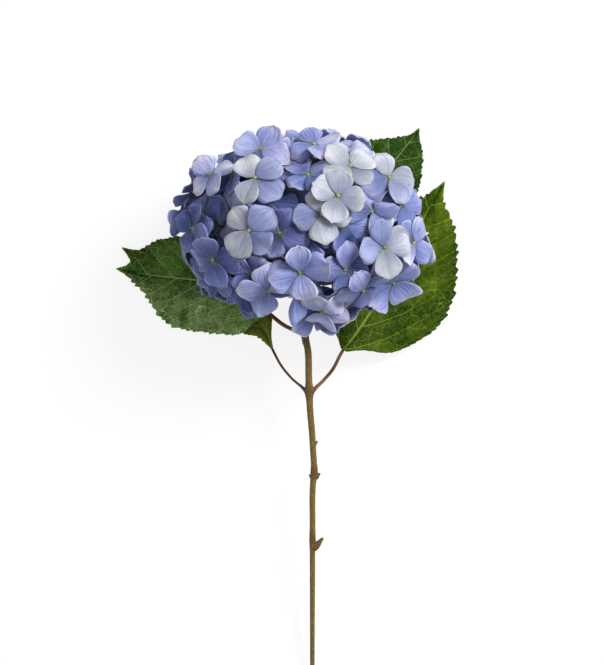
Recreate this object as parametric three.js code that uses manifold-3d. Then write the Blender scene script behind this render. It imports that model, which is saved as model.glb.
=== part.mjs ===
// A cut hydrangea that lies on its back on a table, in millimetres, with +Z up.
// Places are measured from the upper leaf node, where the stem forks under the bloom:
// +X to the right of the stem, +Y towards the bloom and Z up from the table.

import * as THREE from 'three';
import { mergeVertices } from 'three/addons/utils/BufferGeometryUtils.js';
import Module from 'manifold-3d';

const wasm = await Module();
wasm.setup();

const { Vector3 } = THREE;
const DEGREE = Math.PI / 180;

// The upper leaf node, seen from the middle of the whole cut stem
const FORK = { x: 12, y: 65.4 };

// Clearance between touching pieces, and the thickness of the blades
const GAP = 0.35;
const PETAL_THICKNESS = 0.8;
const LEAF_THICKNESS = 0.9;

// The bloom: the middle of its florets, and how far their centres lie from it
const BLOOM = { x: -3, y: 72, z: 72 };
const BLOOM_REACH = { x: 88, y: 71, front: 67, back: 70 };
const BLOOM_RIM = 0.97;
const CORE = { x: -3, y: 72, z: 71, reachX: 58, reachY: 45, reachZ: 45 };

// Florets that overlap lie in different layers, and each follows the bloom's round surface so far
const LAYER = 2.5;
const LAYERS = 8;
const OVERLAP_REACH = 36;
const ROUNDING = 0.5;
const LIFT = { low: -1.5, high: 3 };
const TWIST = 0.15;

// Florets at the bloom's rim lean to the front, and those behind it to the back
const LEAN = { front: 0.55, back: -0.2 };

// One petal, by distance from the floret's centre and angle off the petal's own line
const PETAL = { notch: 2.6, inner: 10.5, outer: 19, outerAngle: 28, tip: 22.3, middle: 12.5 };
const PETAL_CHANNEL = 0.9;
const INNER_SHARE = 0.86;
const PEDICEL = { radius: 1.1, rootDepth: 3 };

// Florets at the front, by hand: place from the bloom's middle, first petal's turn in degrees,
// layer below the bloom's surface, and the turns of the petals where they are uneven
const FRONT_FLORETS = [
  { x: 0, y: -31, turn: 10, deep: 0 },
  { x: -14, y: -4, turn: 62, deep: 1 },
  { x: -22, y: 21, turn: -10, deep: 3 },
  { x: 6, y: 38, turn: 35, deep: 0 },
  { x: -4, y: 30, turn: 45, deep: 3 },
  { x: 51, y: 12, deep: 0, turns: [-55, 20, 95, 175] },
  { x: 33, y: 2, turn: -10, deep: 2 },
  { x: 43, y: -5, turn: -45, deep: 2 },
  { x: 79, y: -10, deep: 0, turns: [-37, 55, 140, 235] },
  { x: 32, y: -30, turn: -12, deep: 0 },
  { x: 21, y: -21, turn: 30, deep: 3 },
  { x: 4, y: -8, turn: 20, deep: 3 },
  { x: 67, y: -39, turn: 50, deep: 1 },
  { x: 44, y: -43, turn: 28, deep: 0 },
  { x: 30, y: -53, turn: 62, deep: 0 },
  { x: 16, y: -60, turn: -40, deep: 1 },
  { x: -22, y: -45, turn: 78, deep: 0 },
  { x: -35, y: -33, turn: 45, deep: 2 },
  { x: -60, y: -22, turn: 4, deep: 0 },
  { x: -31, y: -19, turn: 20, deep: 2 },
  { x: -76, y: 0, turn: 65, deep: 0 },
  { x: -71, y: 10, turn: 25, deep: 2 },
  { x: -52, y: 15, turn: 80, deep: 1 },
  { x: -62, y: 37, turn: 30, deep: 0 },
  { x: -48, y: 42, turn: 10, deep: 2 },
  { x: -27, y: 55, turn: 70, deep: 0 },
  { x: -8, y: 56, turn: 45, deep: 2 },
  { x: 10, y: 58, turn: 20, deep: 0 },
  { x: 37, y: 56, turn: 35, deep: 2 },
  { x: -3, y: -51, turn: -5, deep: 2 },
  { x: -64, y: -38, turn: 50, deep: 2 },
  { x: -43, y: -50, turn: 15, deep: 1 },
  { x: 64, y: -20, turn: 75, deep: 3 },
  { x: -50, y: -2, turn: 30, deep: 3 },
  { x: 74, y: 17, turn: 15, deep: 2 },
];

// Pale florets, each one a piece of its own in the bloom's outer layers
const PALE_FLORETS = [
  { x: 25, y: 20, deep: -2, turns: [-5, 81, 155, 255] },
  { x: 34, y: 41, deep: -1, turns: [-49, 33, 132, 222] },
  { x: 15, y: 9, deep: 0, turns: [8, 100, 190, 277] },
  { x: -35, y: -2, deep: 0, turns: [-45, 42, 130, 233] },
  { x: -30, y: 33, deep: -1, turns: [-40, 40, 122, 246] },
  { x: 62, y: 35, deep: 0, turns: [0, 108, 200, 297] },
  { x: 57, y: -13, deep: -1, turns: [17, 100, 190, 277] },
];

// The floret that the bloom rests on, pressed flat on the table
const REST_FLORET = { x: -14, y: 2, turn: 20 };

// Florets at the sides and the back, by a spiral rule over the whole bloom
const SPIRAL_COUNT = 84;
const SPIRAL_LIMIT = 0;
const SPIRAL_LAYER = 2;
const GOLDEN_ANGLE = Math.PI * (3 - Math.sqrt(5));
const FLORET_SPACING = 28;
const SPIRAL_SIZE = 1.1;
const STALK_SPACING = 25;
const SEED = 20;

// The stem's line from its cut end into the bloom, and its radius along the way
const STEM_LINE = [
  [6, -277, 1.5], [6, -233, 9], [6, -171, 21], [6, -136, 28], [6.3, -108, 33.5], [7.2, -99, 35.2],
  [6.6, -86, 37.5], [5.6, -69, 40.6], [4.5, -57, 43], [3.8, -43, 45.6], [3.4, -30, 48.2],
  [2.8, -13, 51.4], [0.6, -2, 53.6], [1.2, 12, 56.6], [0, 30, 61], [-1.5, 48, 65.5],
];
const STEM_RADIUS = { foot: 1.45, middle: 2.05, top: 2.4 };
const STEM_NODES = [
  { y: -42, swell: 0.75, width: 5 },
  { y: -99, swell: 0.55, width: 4 },
  { y: -147, swell: 0.35, width: 5 },
  { y: 0, swell: 0.5, width: 5 },
];
const STEM_SIDES = 8;
const STEM_STEPS = 32;
const STEM_CUT = { y: -275, angle: 32 };

// Buds and the short side stub on the stem: from, to, and radii at both ends
const BUDS = [
  { from: [6.5, -79, 38.5], to: [10, -74.5, 40], root: 1.2, tip: 0.5 },
  { from: [7.4, -101, 34.6], to: [11.6, -97.5, 36], root: 1.7, tip: 0.7 },
  { from: [6.6, -102, 34.5], to: [3.4, -98.5, 36], root: 1.4, tip: 0.6 },
  { from: [6.2, -154, 24.2], to: [13.6, -144, 27], root: 1.7, tip: 0.9 },
];

// Leaves, by the plan of their base and tip, how far the midrib bows, the half widths of both sides
// at shares of the length, and the petiole's way from the stem
const LEAVES = [
  {
    name: 'front_left_leaf', color: 0x44703a, base: [-24, 12.5], tip: [-133.5, 45], bow: -10,
    left: [[0.07, 11.6], [0.13, 24.5], [0.25, 32], [0.42, 35.5], [0.57, 34], [0.68, 25.5], [0.77, 14.5],
      [0.91, 3.3]],
    right: [[0.08, 9], [0.2, 16], [0.4, 21], [0.64, 25.3], [0.81, 24], [0.88, 15.5], [0.93, 5.5]],
    layer: 5, arch: 8,
    petiole: [[1, -2, 53], [-6, 2, 46.5], [-14, 6, 35]],
  },
  {
    name: 'rear_left_leaf', color: 0x4d7a35, base: [-22, -13], tip: [-129.5, 60], bow: -15,
    left: [[0.05, 3.3], [0.1, 5.7], [0.19, 14.5], [0.35, 21], [0.6, 24], [0.8, 17], [0.93, 4]],
    right: [[0.05, 2.7], [0.1, 9.5], [0.25, 21], [0.5, 28], [0.75, 26.5], [0.86, 15.5], [0.9, 6]],
    layer: 0.5, arch: 3,
    petiole: [[3.4, -45, 45], [-9, -32.5, 38], [-16, -24, 31]],
  },
  {
    name: 'right_leaf', color: 0x55862f, base: [27, -14], tip: [100, 107], bow: -3,
    left: [[0.03, 5], [0.1, 20], [0.2, 30], [0.4, 34], [0.65, 28], [0.8, 16.5], [0.87, 7], [0.93, 3.5]],
    right: [[0.06, 11], [0.11, 26], [0.2, 36], [0.35, 45.3], [0.5, 45.3], [0.64, 38], [0.78, 26.5],
      [0.85, 17], [0.9, 7]],
    layer: 5, arch: 8,
    petiole: [[4, -45, 45], [13.5, -34.5, 39], [20, -27, 33]],
  },
  {
    name: 'upper_right_leaf', color: 0x3c6b2f, base: [10, 33], tip: [82, 145], bow: 10,
    left: [[0.08, 10], [0.2, 20], [0.4, 28], [0.6, 28], [0.76, 24.5], [0.81, 21], [0.87, 12], [0.94, 3.3]],
    right: [[0.08, 10], [0.2, 22], [0.4, 30], [0.63, 29], [0.74, 25.2], [0.84, 17], [0.89, 12.5],
      [0.96, 3.8]],
    layer: 0.5, arch: 3,
    petiole: [[1.5, 1, 53], [6, 9, 43], [9, 20, 26]],
  },
];
const LEAF_ROWS = 30;
const BOW_SHAPE = 27 / 4;
const TOOTH = { out: 1.7, forward: 0.35 };
const PETIOLE = { root: 1.9, middle: 1.15, tip: 0.6, sides: 6, steps: 8, runOut: 0.1 };

// The bed that the leaves make round the stem: it rises towards the leaf nodes
const BED = { x: 0, y: -12, rise: 32, spread: 45 };
const LEAF_BED_DEPTH = 11;
const LEFT_LEAVES = { insideX: -22, outsideX: -36, aboveY: 80, belowY: 68 };
const RIGHT_LEAVES = { insideX: -5, outsideX: 9 };

const PETAL_BLUE = 0x7d8ccb;
const PETAL_PALE = 0xccd2e4;
const STEM_BROWN = 0x85763c;

// Small tools

function seededRandom(seed) {
  let state = seed;
  return (low, high) => {
    state = (Math.imul(state, 1664525) + 1013904223) >>> 0;
    return low + (high - low) * (state / 4294967296);
  };
}

function smooth(value, from, to) {
  const share = THREE.MathUtils.clamp((value - from) / (to - from), 0, 1);
  return share * share * (3 - 2 * share);
}

function toSolid(geometry) {
  geometry.deleteAttribute('normal');
  geometry.deleteAttribute('uv');
  const merged = mergeVertices(geometry, 1e-4);
  const vertProperties = new Float32Array(merged.attributes.position.array);
  const triVerts = new Uint32Array(merged.index.array);
  return new wasm.Manifold(new wasm.Mesh({ numProp: 3, vertProperties, triVerts }));
}

function toMesh(name, solid, color, roughness) {
  const { vertProperties, triVerts } = solid.getMesh();
  const geometry = new THREE.BufferGeometry();
  geometry.setAttribute('position', new THREE.BufferAttribute(vertProperties, 3));
  geometry.setIndex(new THREE.BufferAttribute(triVerts, 1));
  geometry.computeVertexNormals();
  const material = new THREE.MeshStandardMaterial({ color, roughness, metalness: 0 });
  const mesh = new THREE.Mesh(geometry, material);
  mesh.name = name;
  return mesh;
}

function largestBody(solid) {
  const bodies = solid.decompose().sort((a, b) => b.volume() - a.volume());
  return bodies[0];
}

// A round bar along a curve: a cylinder's rings are moved onto the curve, each with its own radius
function bentBar(curve, radiusAt, sides, steps) {
  const geometry = new THREE.CylinderGeometry(1, 1, 1, sides, steps);
  const positions = geometry.attributes.position;
  for (let i = 0; i < positions.count; i++) {
    const share = positions.getY(i) + 0.5;
    const middle = curve.getPointAt(share);
    const along = curve.getTangentAt(share);
    const helper = Math.abs(along.z) > 0.9 ? new Vector3(1, 0, 0) : new Vector3(0, 0, 1);
    const across = new Vector3().crossVectors(along, helper).normalize();
    const over = new Vector3().crossVectors(along, across);
    const radius = radiusAt(share, middle);
    middle.addScaledVector(over, positions.getX(i) * radius);
    middle.addScaledVector(across, positions.getZ(i) * radius);
    positions.setXYZ(i, middle.x, middle.y, middle.z);
  }
  return toSolid(geometry);
}

function taperedPeg(from, to, rootRadius, tipRadius, sides) {
  return bentBar(
    new THREE.LineCurve3(from, to),
    (share) => THREE.MathUtils.lerp(rootRadius, tipRadius, share),
    sides,
    1,
  );
}

// A thin blade on both sides of a sheet of points, split into the same triangles on both faces.
// A stalk has points of its own, and faces that open the blade's underside for it.
function thickBlade(points, faces, thickness, grow, stalk = { under: faces, points: [], walls: [] }) {
  const normals = points.map(() => new Vector3());
  const outward = points.map(() => new Vector3());
  for (const [a, b, c] of faces) {
    const turn = new Vector3().subVectors(points[b], points[a]);
    turn.cross(new Vector3().subVectors(points[c], points[a]));
    [a, b, c].forEach((corner) => normals[corner].add(turn));
  }
  normals.forEach((normal) => normal.normalize());
  const rim = rimEdges(faces);
  for (const [a, b] of rim) {
    const side = new Vector3().subVectors(points[b], points[a]).normalize();
    side.cross(new Vector3().addVectors(normals[a], normals[b]).normalize());
    outward[a].add(side);
    outward[b].add(side);
  }
  const placed = points.map((point, i) => point.clone().addScaledVector(outward[i].normalize(), grow));
  const half = thickness / 2 + grow;
  const corners = [half, -half].flatMap((offset) =>
    placed.map((point, i) => point.clone().addScaledVector(normals[i], offset)));
  const count = points.length;
  const index = faces.flat();
  stalk.under.forEach(([a, b, c]) => index.push(c + count, b + count, a + count));
  for (const [a, b] of rim) {
    index.push(b, a, a + count, b, a + count, b + count);
  }
  index.push(...stalk.walls.flat());
  const geometry = new THREE.BufferGeometry().setFromPoints([...corners, ...stalk.points]);
  geometry.setIndex(index);
  return toSolid(geometry);
}

// The edges that only one triangle uses, in that triangle's direction
function rimEdges(faces) {
  const edges = new Map();
  for (const [a, b, c] of faces) {
    for (const [from, to] of [[a, b], [b, c], [c, a]]) {
      if (!edges.delete(`${to},${from}`)) {
        edges.set(`${from},${to}`, [from, to]);
      }
    }
  }
  return [...edges.values()];
}

// What lies under the bloom

function bedHeight(x, y) {
  const distance = Math.hypot(x - BED.x, y - BED.y);
  return BED.rise * Math.exp(-((distance / BED.spread) ** 2));
}

// Lowest height of a petal: the table, or clear of the leaves where they pass under the bloom
function lowestPetal(x, y) {
  const left = smooth(x, LEFT_LEAVES.insideX, LEFT_LEAVES.outsideX)
    * smooth(y, LEFT_LEAVES.aboveY, LEFT_LEAVES.belowY);
  const right = smooth(x, RIGHT_LEAVES.insideX, RIGHT_LEAVES.outsideX);
  return Math.max(left, right) * (bedHeight(x, y) + LEAF_BED_DEPTH);
}

// Stem

const stemCurve = new THREE.CatmullRomCurve3(STEM_LINE.map((point) => new Vector3(...point)));

function stemRadius(y) {
  const body = y < -136
    ? THREE.MathUtils.mapLinear(y, -277, -136, STEM_RADIUS.foot, STEM_RADIUS.middle)
    : THREE.MathUtils.mapLinear(Math.min(y, -30), -136, -30, STEM_RADIUS.middle, STEM_RADIUS.top);
  const swelling = STEM_NODES.reduce(
    (sum, node) => sum + node.swell * Math.exp(-(((y - node.y) / node.width) ** 2)), 0);
  return body + swelling;
}

function stemSolid(grow) {
  let stem = bentBar(stemCurve, (share, middle) => stemRadius(middle.y) + grow, STEM_SIDES, STEM_STEPS);
  for (const bud of BUDS) {
    stem = stem.add(
      taperedPeg(new Vector3(...bud.from), new Vector3(...bud.to), bud.root + grow, bud.tip + grow, 5));
  }
  if (grow > 0) {
    const end = stemCurve.getPointAt(1);
    const tip = end.clone().addScaledVector(stemCurve.getTangentAt(1), grow);
    const radius = stemRadius(end.y) + grow;
    stem = stem.add(taperedPeg(stemCurve.getPointAt(0.99), tip, radius, radius, STEM_SIDES));
  }
  return stem;
}

// The cut end is slanted, as shears leave it
function cutFoot(stem) {
  const waste = new THREE.BoxGeometry(20, 20, 40);
  waste.translate(0, -10, 0);
  waste.rotateX(-STEM_CUT.angle * DEGREE);
  waste.translate(STEM_LINE[0][0], STEM_CUT.y, STEM_LINE[0][2]);
  return stem.subtract(toSolid(waste));
}

// Leaves

// The half width of one side, on a smooth curve through the given shares and widths
function halfWidthAt(widths, along) {
  const knots = [[0, 0], ...widths, [1, 0]];
  const slopes = knots.map((knot, i) => {
    const before = knots[Math.max(i - 1, 0)];
    const after = knots[Math.min(i + 1, knots.length - 1)];
    return (after[1] - before[1]) / (after[0] - before[0]);
  });
  const part = Math.min(knots.findLastIndex((knot) => knot[0] <= along), knots.length - 2);
  const [from, to] = [knots[part], knots[part + 1]];
  const step = to[0] - from[0];
  const s = (along - from[0]) / step;
  const bend = s * s * (3 - 2 * s);
  return from[1] + (to[1] - from[1]) * bend
    + step * s * (1 - s) * ((1 - s) * slopes[part] - s * slopes[part + 1]);
}

// A point of a leaf: along from 0 at the base to 1 at the tip, across from -1 to 1 with the left at 1
function leafPoint(leaf, along, across, tooth) {
  const base = new Vector3(leaf.base[0], leaf.base[1], 0);
  const span = new Vector3(leaf.tip[0], leaf.tip[1], 0).sub(base);
  const forward = span.clone().normalize();
  const sideways = new Vector3(-forward.y, forward.x, 0);
  const halfWidth = halfWidthAt(across > 0 ? leaf.left : leaf.right, along);
  const side = Math.sign(across);
  const point = base.addScaledVector(span, along);
  point.addScaledVector(sideways, leaf.bow * BOW_SHAPE * along * (1 - along) ** 2);
  point.addScaledVector(sideways, across * halfWidth + side * tooth * TOOTH.out);
  point.addScaledVector(forward, tooth * TOOTH.forward * TOOTH.out);
  const arch = leaf.arch * (Math.abs(across) - 0.8 * across * across);
  point.z = LEAF_THICKNESS / 2 + bedHeight(point.x, point.y) + leaf.layer + arch;
  return point;
}

function leafSheet(leaf) {
  const points = [];
  const faces = [];
  const columns = [1, 0.5, 0, -0.5, -1];
  const rows = LEAF_ROWS - 1;
  for (let row = 0; row <= rows; row++) {
    const along = THREE.MathUtils.lerp(0.012, 1, row / LEAF_ROWS);
    for (const across of columns) {
      const tooth = Math.abs(across) === 1 ? row % 2 : 0;
      points.push(leafPoint(leaf, along, across, tooth));
    }
  }
  for (let row = 0; row < rows; row++) {
    for (let column = 0; column < columns.length - 1; column++) {
      const near = row * columns.length + column;
      const far = near + columns.length;
      faces.push([near, near + 1, far + 1], [near, far + 1, far]);
    }
  }
  const tip = points.push(leafPoint(leaf, 1, 0, 0)) - 1;
  for (let column = 0; column < columns.length - 1; column++) {
    const near = rows * columns.length + column;
    faces.push([near, near + 1, tip]);
  }
  return { points, faces };
}

function petioleSolid(leaf, grow) {
  const way = leaf.petiole.map((point) => new Vector3(...point));
  way.push(leafPoint(leaf, 0, 0, 0), leafPoint(leaf, PETIOLE.runOut, 0, 0));
  way.slice(-2).forEach((point) => point.setZ(point.z - PETIOLE.tip));
  const radiusAt = (share) => grow + (share < 0.3
    ? THREE.MathUtils.mapLinear(share, 0, 0.3, PETIOLE.root, PETIOLE.middle)
    : THREE.MathUtils.mapLinear(share, 0.3, 1, PETIOLE.middle, PETIOLE.tip));
  return bentBar(new THREE.CatmullRomCurve3(way), radiusAt, PETIOLE.sides, PETIOLE.steps);
}

function leafSolid(leaf, grow) {
  const { points, faces } = leafSheet(leaf);
  return thickBlade(points, faces, LEAF_THICKNESS, grow).add(petioleSolid(leaf, grow));
}

// Florets

// Where a floret stands on the bloom's surface, from a place seen from the front
function frontPlace({ x, y }) {
  const spread = Math.min((x / BLOOM_REACH.x) ** 2 + (y / BLOOM_REACH.y) ** 2, BLOOM_RIM);
  return new Vector3(x, y, BLOOM_REACH.front * Math.sqrt(1 - spread));
}

function reachAt(z, depth) {
  const reachZ = z > 0 ? BLOOM_REACH.front : BLOOM_REACH.back;
  return new Vector3(BLOOM_REACH.x - depth, BLOOM_REACH.y - depth, reachZ - depth);
}

// The nearest layer to the wanted one that no overlapping floret lies in
function freeLayer(place, wanted, placed) {
  const taken = placed.filter((other) => other.place.distanceTo(place) < OVERLAP_REACH);
  for (let step = 0; step < LAYERS; step++) {
    if (!taken.some((other) => other.layer === wanted + step)) {
      return wanted + step;
    }
  }
  return wanted;
}

function floret(place, wanted, turns, placed, random, scale = 1) {
  const layer = freeLayer(place, wanted, placed);
  const reach = reachAt(place.z, 0);
  const facing = place.clone().divide(reach).divide(reach).normalize();
  const lean = place.z > 0 ? LEAN.front : LEAN.back;
  facing.setZ(facing.z + lean * Math.hypot(facing.x, facing.y)).normalize();
  const centre = place.clone().addScaledVector(facing, -layer * LAYER);
  const petals = turns.map(() => ({
    lift: random(LIFT.low, LIFT.high),
    twist: random(-TWIST, TWIST),
    size: scale * random(0.92, 1.04),
  }));
  return { place, layer, depth: layer * LAYER, centre, facing, turns, petals };
}

function evenTurns(turn, random) {
  return [0, 90, 180, 270].map((quarter) => turn + quarter + random(-7, 7));
}

function frontFloret(row, placed, random) {
  const turns = row.turns ?? evenTurns(row.turn, random);
  return floret(frontPlace(row), row.deep, turns, placed, random);
}

function restFloret(random) {
  const place = new Vector3(REST_FLORET.x, REST_FLORET.y, -BLOOM_REACH.back);
  const plan = floret(place, 0, evenTurns(REST_FLORET.turn, random), [], random);
  plan.centre.z = PETAL_THICKNESS / 2 - BLOOM.z;
  plan.facing.set(0, 0, -1);
  return { ...plan, flat: true };
}

// Points on the stalks that a floret has to leave free
function stalkPoints() {
  const points = [0.86, 0.9, 0.94].map((share) => stemCurve.getPointAt(share));
  for (const leaf of [LEAVES[0], LEAVES[3]]) {
    points.push(...leaf.petiole.map((point) => new Vector3(...point)));
  }
  return points.map((point) => point.sub(new Vector3(BLOOM.x, BLOOM.y, BLOOM.z)));
}

// The sides and the back: a spiral that skips what stands too close to a floret or a stalk
function addSpiralFlorets(placed, random) {
  const stalks = stalkPoints();
  for (let step = 0; step < SPIRAL_COUNT; step++) {
    const height = 1 - (2 * (step + 0.5)) / SPIRAL_COUNT;
    const ring = Math.sqrt(1 - height * height);
    const angle = step * GOLDEN_ANGLE;
    const place = new Vector3(ring * Math.cos(angle), ring * Math.sin(angle), height);
    place.multiply(reachAt(height, 0));
    const turns = evenTurns(random(0, 90), random);
    const tooClose = placed.some((other) => other.place.distanceTo(place) < FLORET_SPACING)
      || stalks.some((point) => point.distanceTo(place) < STALK_SPACING);
    if (height < SPIRAL_LIMIT && !tooClose) {
      placed.push(floret(place, SPIRAL_LAYER, turns, placed, random, SPIRAL_SIZE));
    }
  }
}

// The sheet of one floret: a centre, and for each petal its rim, its middle and the notch after it
function floretSheet(floretPlan) {
  const { centre, facing, depth, turns, petals, flat } = floretPlan;
  const upright = new THREE.Quaternion().setFromUnitVectors(new Vector3(0, 0, 1), facing);
  const at = (angle, radius, height) => {
    const local = new Vector3(Math.cos(angle * DEGREE) * radius, Math.sin(angle * DEGREE) * radius, 0);
    const point = local.applyQuaternion(upright).add(centre);
    if (!flat) {
      const surface = point.clone().divideScalar(point.clone().divide(reachAt(point.z, depth)).length());
      point.lerp(surface, ROUNDING).addScaledVector(facing, height);
    }
    point.add(new Vector3(BLOOM.x, BLOOM.y, BLOOM.z));
    const lowest = PETAL_THICKNESS / 2 + (flat ? 0 : lowestPetal(point.x, point.y));
    point.z = Math.max(point.z, lowest);
    return point;
  };
  const points = [at(0, 0, 0)];
  const faces = [];
  turns.forEach((turn, k) => {
    const last = k === turns.length - 1;
    const gapAfter = (last ? turns[0] + 360 : turns[k + 1]) - turn;
    const gapBefore = turn - (k === 0 ? turns.at(-1) - 360 : turns[k - 1]);
    const { lift, twist, size } = petals[k];
    const inner = PETAL.inner * size;
    const outer = PETAL.outer * size;
    const innerLift = lift * 0.22;
    const outerLift = lift * 0.75;
    const turnUp = outer * Math.sin(PETAL.outerAngle * DEGREE) * twist;
    const channel = flat ? 0 : PETAL_CHANNEL;
    const start = points.length;
    points.push(
      at(turn - INNER_SHARE * gapBefore / 2, inner, innerLift - turnUp * 0.6),
      at(turn - PETAL.outerAngle, outer, outerLift - turnUp),
      at(turn, PETAL.tip * size, lift - channel),
      at(turn + PETAL.outerAngle, outer, outerLift + turnUp),
      at(turn + INNER_SHARE * gapAfter / 2, inner, innerLift + turnUp * 0.6),
      at(turn, PETAL.middle * size, lift * 0.3 - channel),
      at(turn + gapAfter / 2, PETAL.notch, 0),
    );
    const notchBefore = k === 0 ? turns.length * 7 : start - 1;
    const middle = start + 5;
    const round = [0, notchBefore, start, start + 1, start + 2, start + 3, start + 4, start + 6, 0];
    for (let i = 0; i < round.length - 1; i++) {
      faces.push([middle, round[i], round[i + 1]]);
    }
  });
  const notches = [4, 1, 2, 3].map((petal) => petal * 7);
  return { points, faces, notches };
}

// The floret's stalk narrows from the notches between its petals to a root inside the core
function pedicel(floretPlan, sheet, grow) {
  const { points, faces, notches } = sheet;
  const centre = points[0];
  const toCore = new Vector3(CORE.x, CORE.y, CORE.z).sub(centre);
  const reach = new Vector3(CORE.reachX, CORE.reachY, CORE.reachZ);
  const toSurface = toCore.length() * (1 - 1 / toCore.clone().divide(reach).length());
  const inward = toCore.normalize();
  const root = centre.clone().addScaledVector(inward, toSurface + PEDICEL.rootDepth + grow);
  const rootRing = notches.map((notch) => {
    const out = points[notch].clone().sub(centre);
    out.addScaledVector(inward, -out.dot(inward)).setLength(PEDICEL.radius + grow);
    return out.add(root);
  });
  const count = points.length;
  const walls = [[2, 1, 0], [3, 2, 0]].map((cap) => cap.map((corner) => corner + 2 * count));
  const under = faces.filter((face) => !face.includes(0));
  notches.forEach((notch, k) => {
    const next = (k + 1) % notches.length;
    const petalMiddle = faces.find((face) => face[1] === 0 && face[2] === notch)[0];
    under.push([petalMiddle, notches[next], notch]);
    walls.push([notches[next] + count, notch + count, k + 2 * count]);
    walls.push([notches[next] + count, k + 2 * count, next + 2 * count]);
  });
  return { under, points: rootRing, walls };
}

function floretSolid(plan, grow) {
  const sheet = floretSheet(plan);
  return thickBlade(sheet.points, sheet.faces, PETAL_THICKNESS, grow, pedicel(plan, sheet, grow));
}

function coreSolid() {
  const core = new THREE.IcosahedronGeometry(1, 1);
  core.scale(CORE.reachX, CORE.reachY, CORE.reachZ);
  core.translate(CORE.x, CORE.y, CORE.z);
  return toSolid(core);
}

// The whole cut hydrangea

function buildHydrangea() {
  const hydrangea = new THREE.Group();
  hydrangea.position.set(FORK.x, FORK.y, 0);

  const grownStem = stemSolid(GAP);
  hydrangea.add(toMesh('stem', cutFoot(stemSolid(0)), STEM_BROWN, 0.75));

  const grownLeaves = [];
  for (const leaf of LEAVES) {
    const solid = largestBody(leafSolid(leaf, 0).subtract(grownStem));
    hydrangea.add(toMesh(leaf.name, solid, leaf.color, 0.55));
    grownLeaves.push(leafSolid(leaf, GAP));
  }

  const random = seededRandom(SEED);
  const placed = [restFloret(random)];
  PALE_FLORETS.forEach((row) => placed.push(frontFloret(row, placed, random)));
  FRONT_FLORETS.forEach((row) => placed.push(frontFloret(row, placed, random)));
  addSpiralFlorets(placed, random);
  const pale = placed.slice(1, 1 + PALE_FLORETS.length);
  const blue = placed.filter((plan) => !pale.includes(plan));

  let taken = wasm.Manifold.union([grownStem, ...grownLeaves]);
  pale.forEach((plan, i) => {
    const solid = largestBody(floretSolid(plan, 0).subtract(taken));
    hydrangea.add(toMesh(`pale_floret_${i + 1}`, solid, PETAL_PALE, 0.6));
    taken = taken.add(floretSolid(plan, GAP));
  });
  const head = wasm.Manifold.union([coreSolid(), ...blue.map((plan) => floretSolid(plan, 0))]);
  hydrangea.add(toMesh('flower_head', largestBody(head.subtract(taken)), PETAL_BLUE, 0.6));
  return hydrangea;
}

export default buildHydrangea();
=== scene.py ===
"""Dresses a cut hydrangea that lies on its back: petals, stalks, leaves, stem and finishes.

Lengths are in millimetres, measured from the upper leaf node as on the solid model, and every mesh is
brought to metres in the frame's own place when it is made.
"""

import logging
import math
from dataclasses import dataclass
from enum import Enum
from functools import partialmethod
from typing import Callable, Iterator, Sequence

import bpy
import numpy as np
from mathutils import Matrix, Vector


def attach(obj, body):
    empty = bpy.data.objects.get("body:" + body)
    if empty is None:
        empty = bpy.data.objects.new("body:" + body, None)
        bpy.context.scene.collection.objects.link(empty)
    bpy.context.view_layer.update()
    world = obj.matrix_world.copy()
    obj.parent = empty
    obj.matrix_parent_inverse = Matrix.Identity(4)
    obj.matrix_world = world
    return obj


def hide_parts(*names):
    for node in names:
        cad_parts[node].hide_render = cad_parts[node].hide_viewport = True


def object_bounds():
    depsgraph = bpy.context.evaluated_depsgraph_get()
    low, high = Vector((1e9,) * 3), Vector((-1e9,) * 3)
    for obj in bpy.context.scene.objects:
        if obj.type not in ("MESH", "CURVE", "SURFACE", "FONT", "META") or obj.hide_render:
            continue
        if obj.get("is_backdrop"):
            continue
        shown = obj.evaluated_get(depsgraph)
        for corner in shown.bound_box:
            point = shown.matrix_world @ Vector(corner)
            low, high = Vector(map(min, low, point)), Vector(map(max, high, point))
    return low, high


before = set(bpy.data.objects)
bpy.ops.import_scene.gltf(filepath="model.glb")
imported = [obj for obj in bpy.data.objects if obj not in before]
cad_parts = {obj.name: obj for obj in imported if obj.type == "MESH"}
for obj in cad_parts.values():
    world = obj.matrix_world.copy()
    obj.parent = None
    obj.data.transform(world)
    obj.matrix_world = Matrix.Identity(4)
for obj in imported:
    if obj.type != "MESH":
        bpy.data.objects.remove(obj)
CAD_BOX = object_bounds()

log = logging.getLogger("hydrangea")

Array = np.ndarray
Draw = Callable[[float, float], float]
Group = bpy.types.NodeTree
Material = bpy.types.Material
Mesh = bpy.types.Mesh
Piece = bpy.types.Object
Radius = Callable[[Array, Array], Array]
Row = tuple[float, float, float]
Widths = tuple[tuple[float, float], ...]

MM = 0.001
BODY = "root"
FORK = np.array([12.0, 65.4, 0.0])
GOLDEN = math.pi * (3 - math.sqrt(5))
DOUBLES = 0.02 * MM
PETAL_GAP = 0.25
TABLE_GAP = 0.1
BED_HEIGHT = 32.0
BED_MIDDLE = -12.0
BED_SPREAD = 45.0
LEAF_CLEARANCE = 11.0


class Tone(Enum):
    """How light a floret's petals are, from 0 for shaded blue to 1 for greyish white."""

    DEEP = 0.2
    BLUE = 0.43
    LIGHT = 0.6
    LAVENDER = 0.7
    MIST = 0.77
    PALE = 0.84


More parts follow.
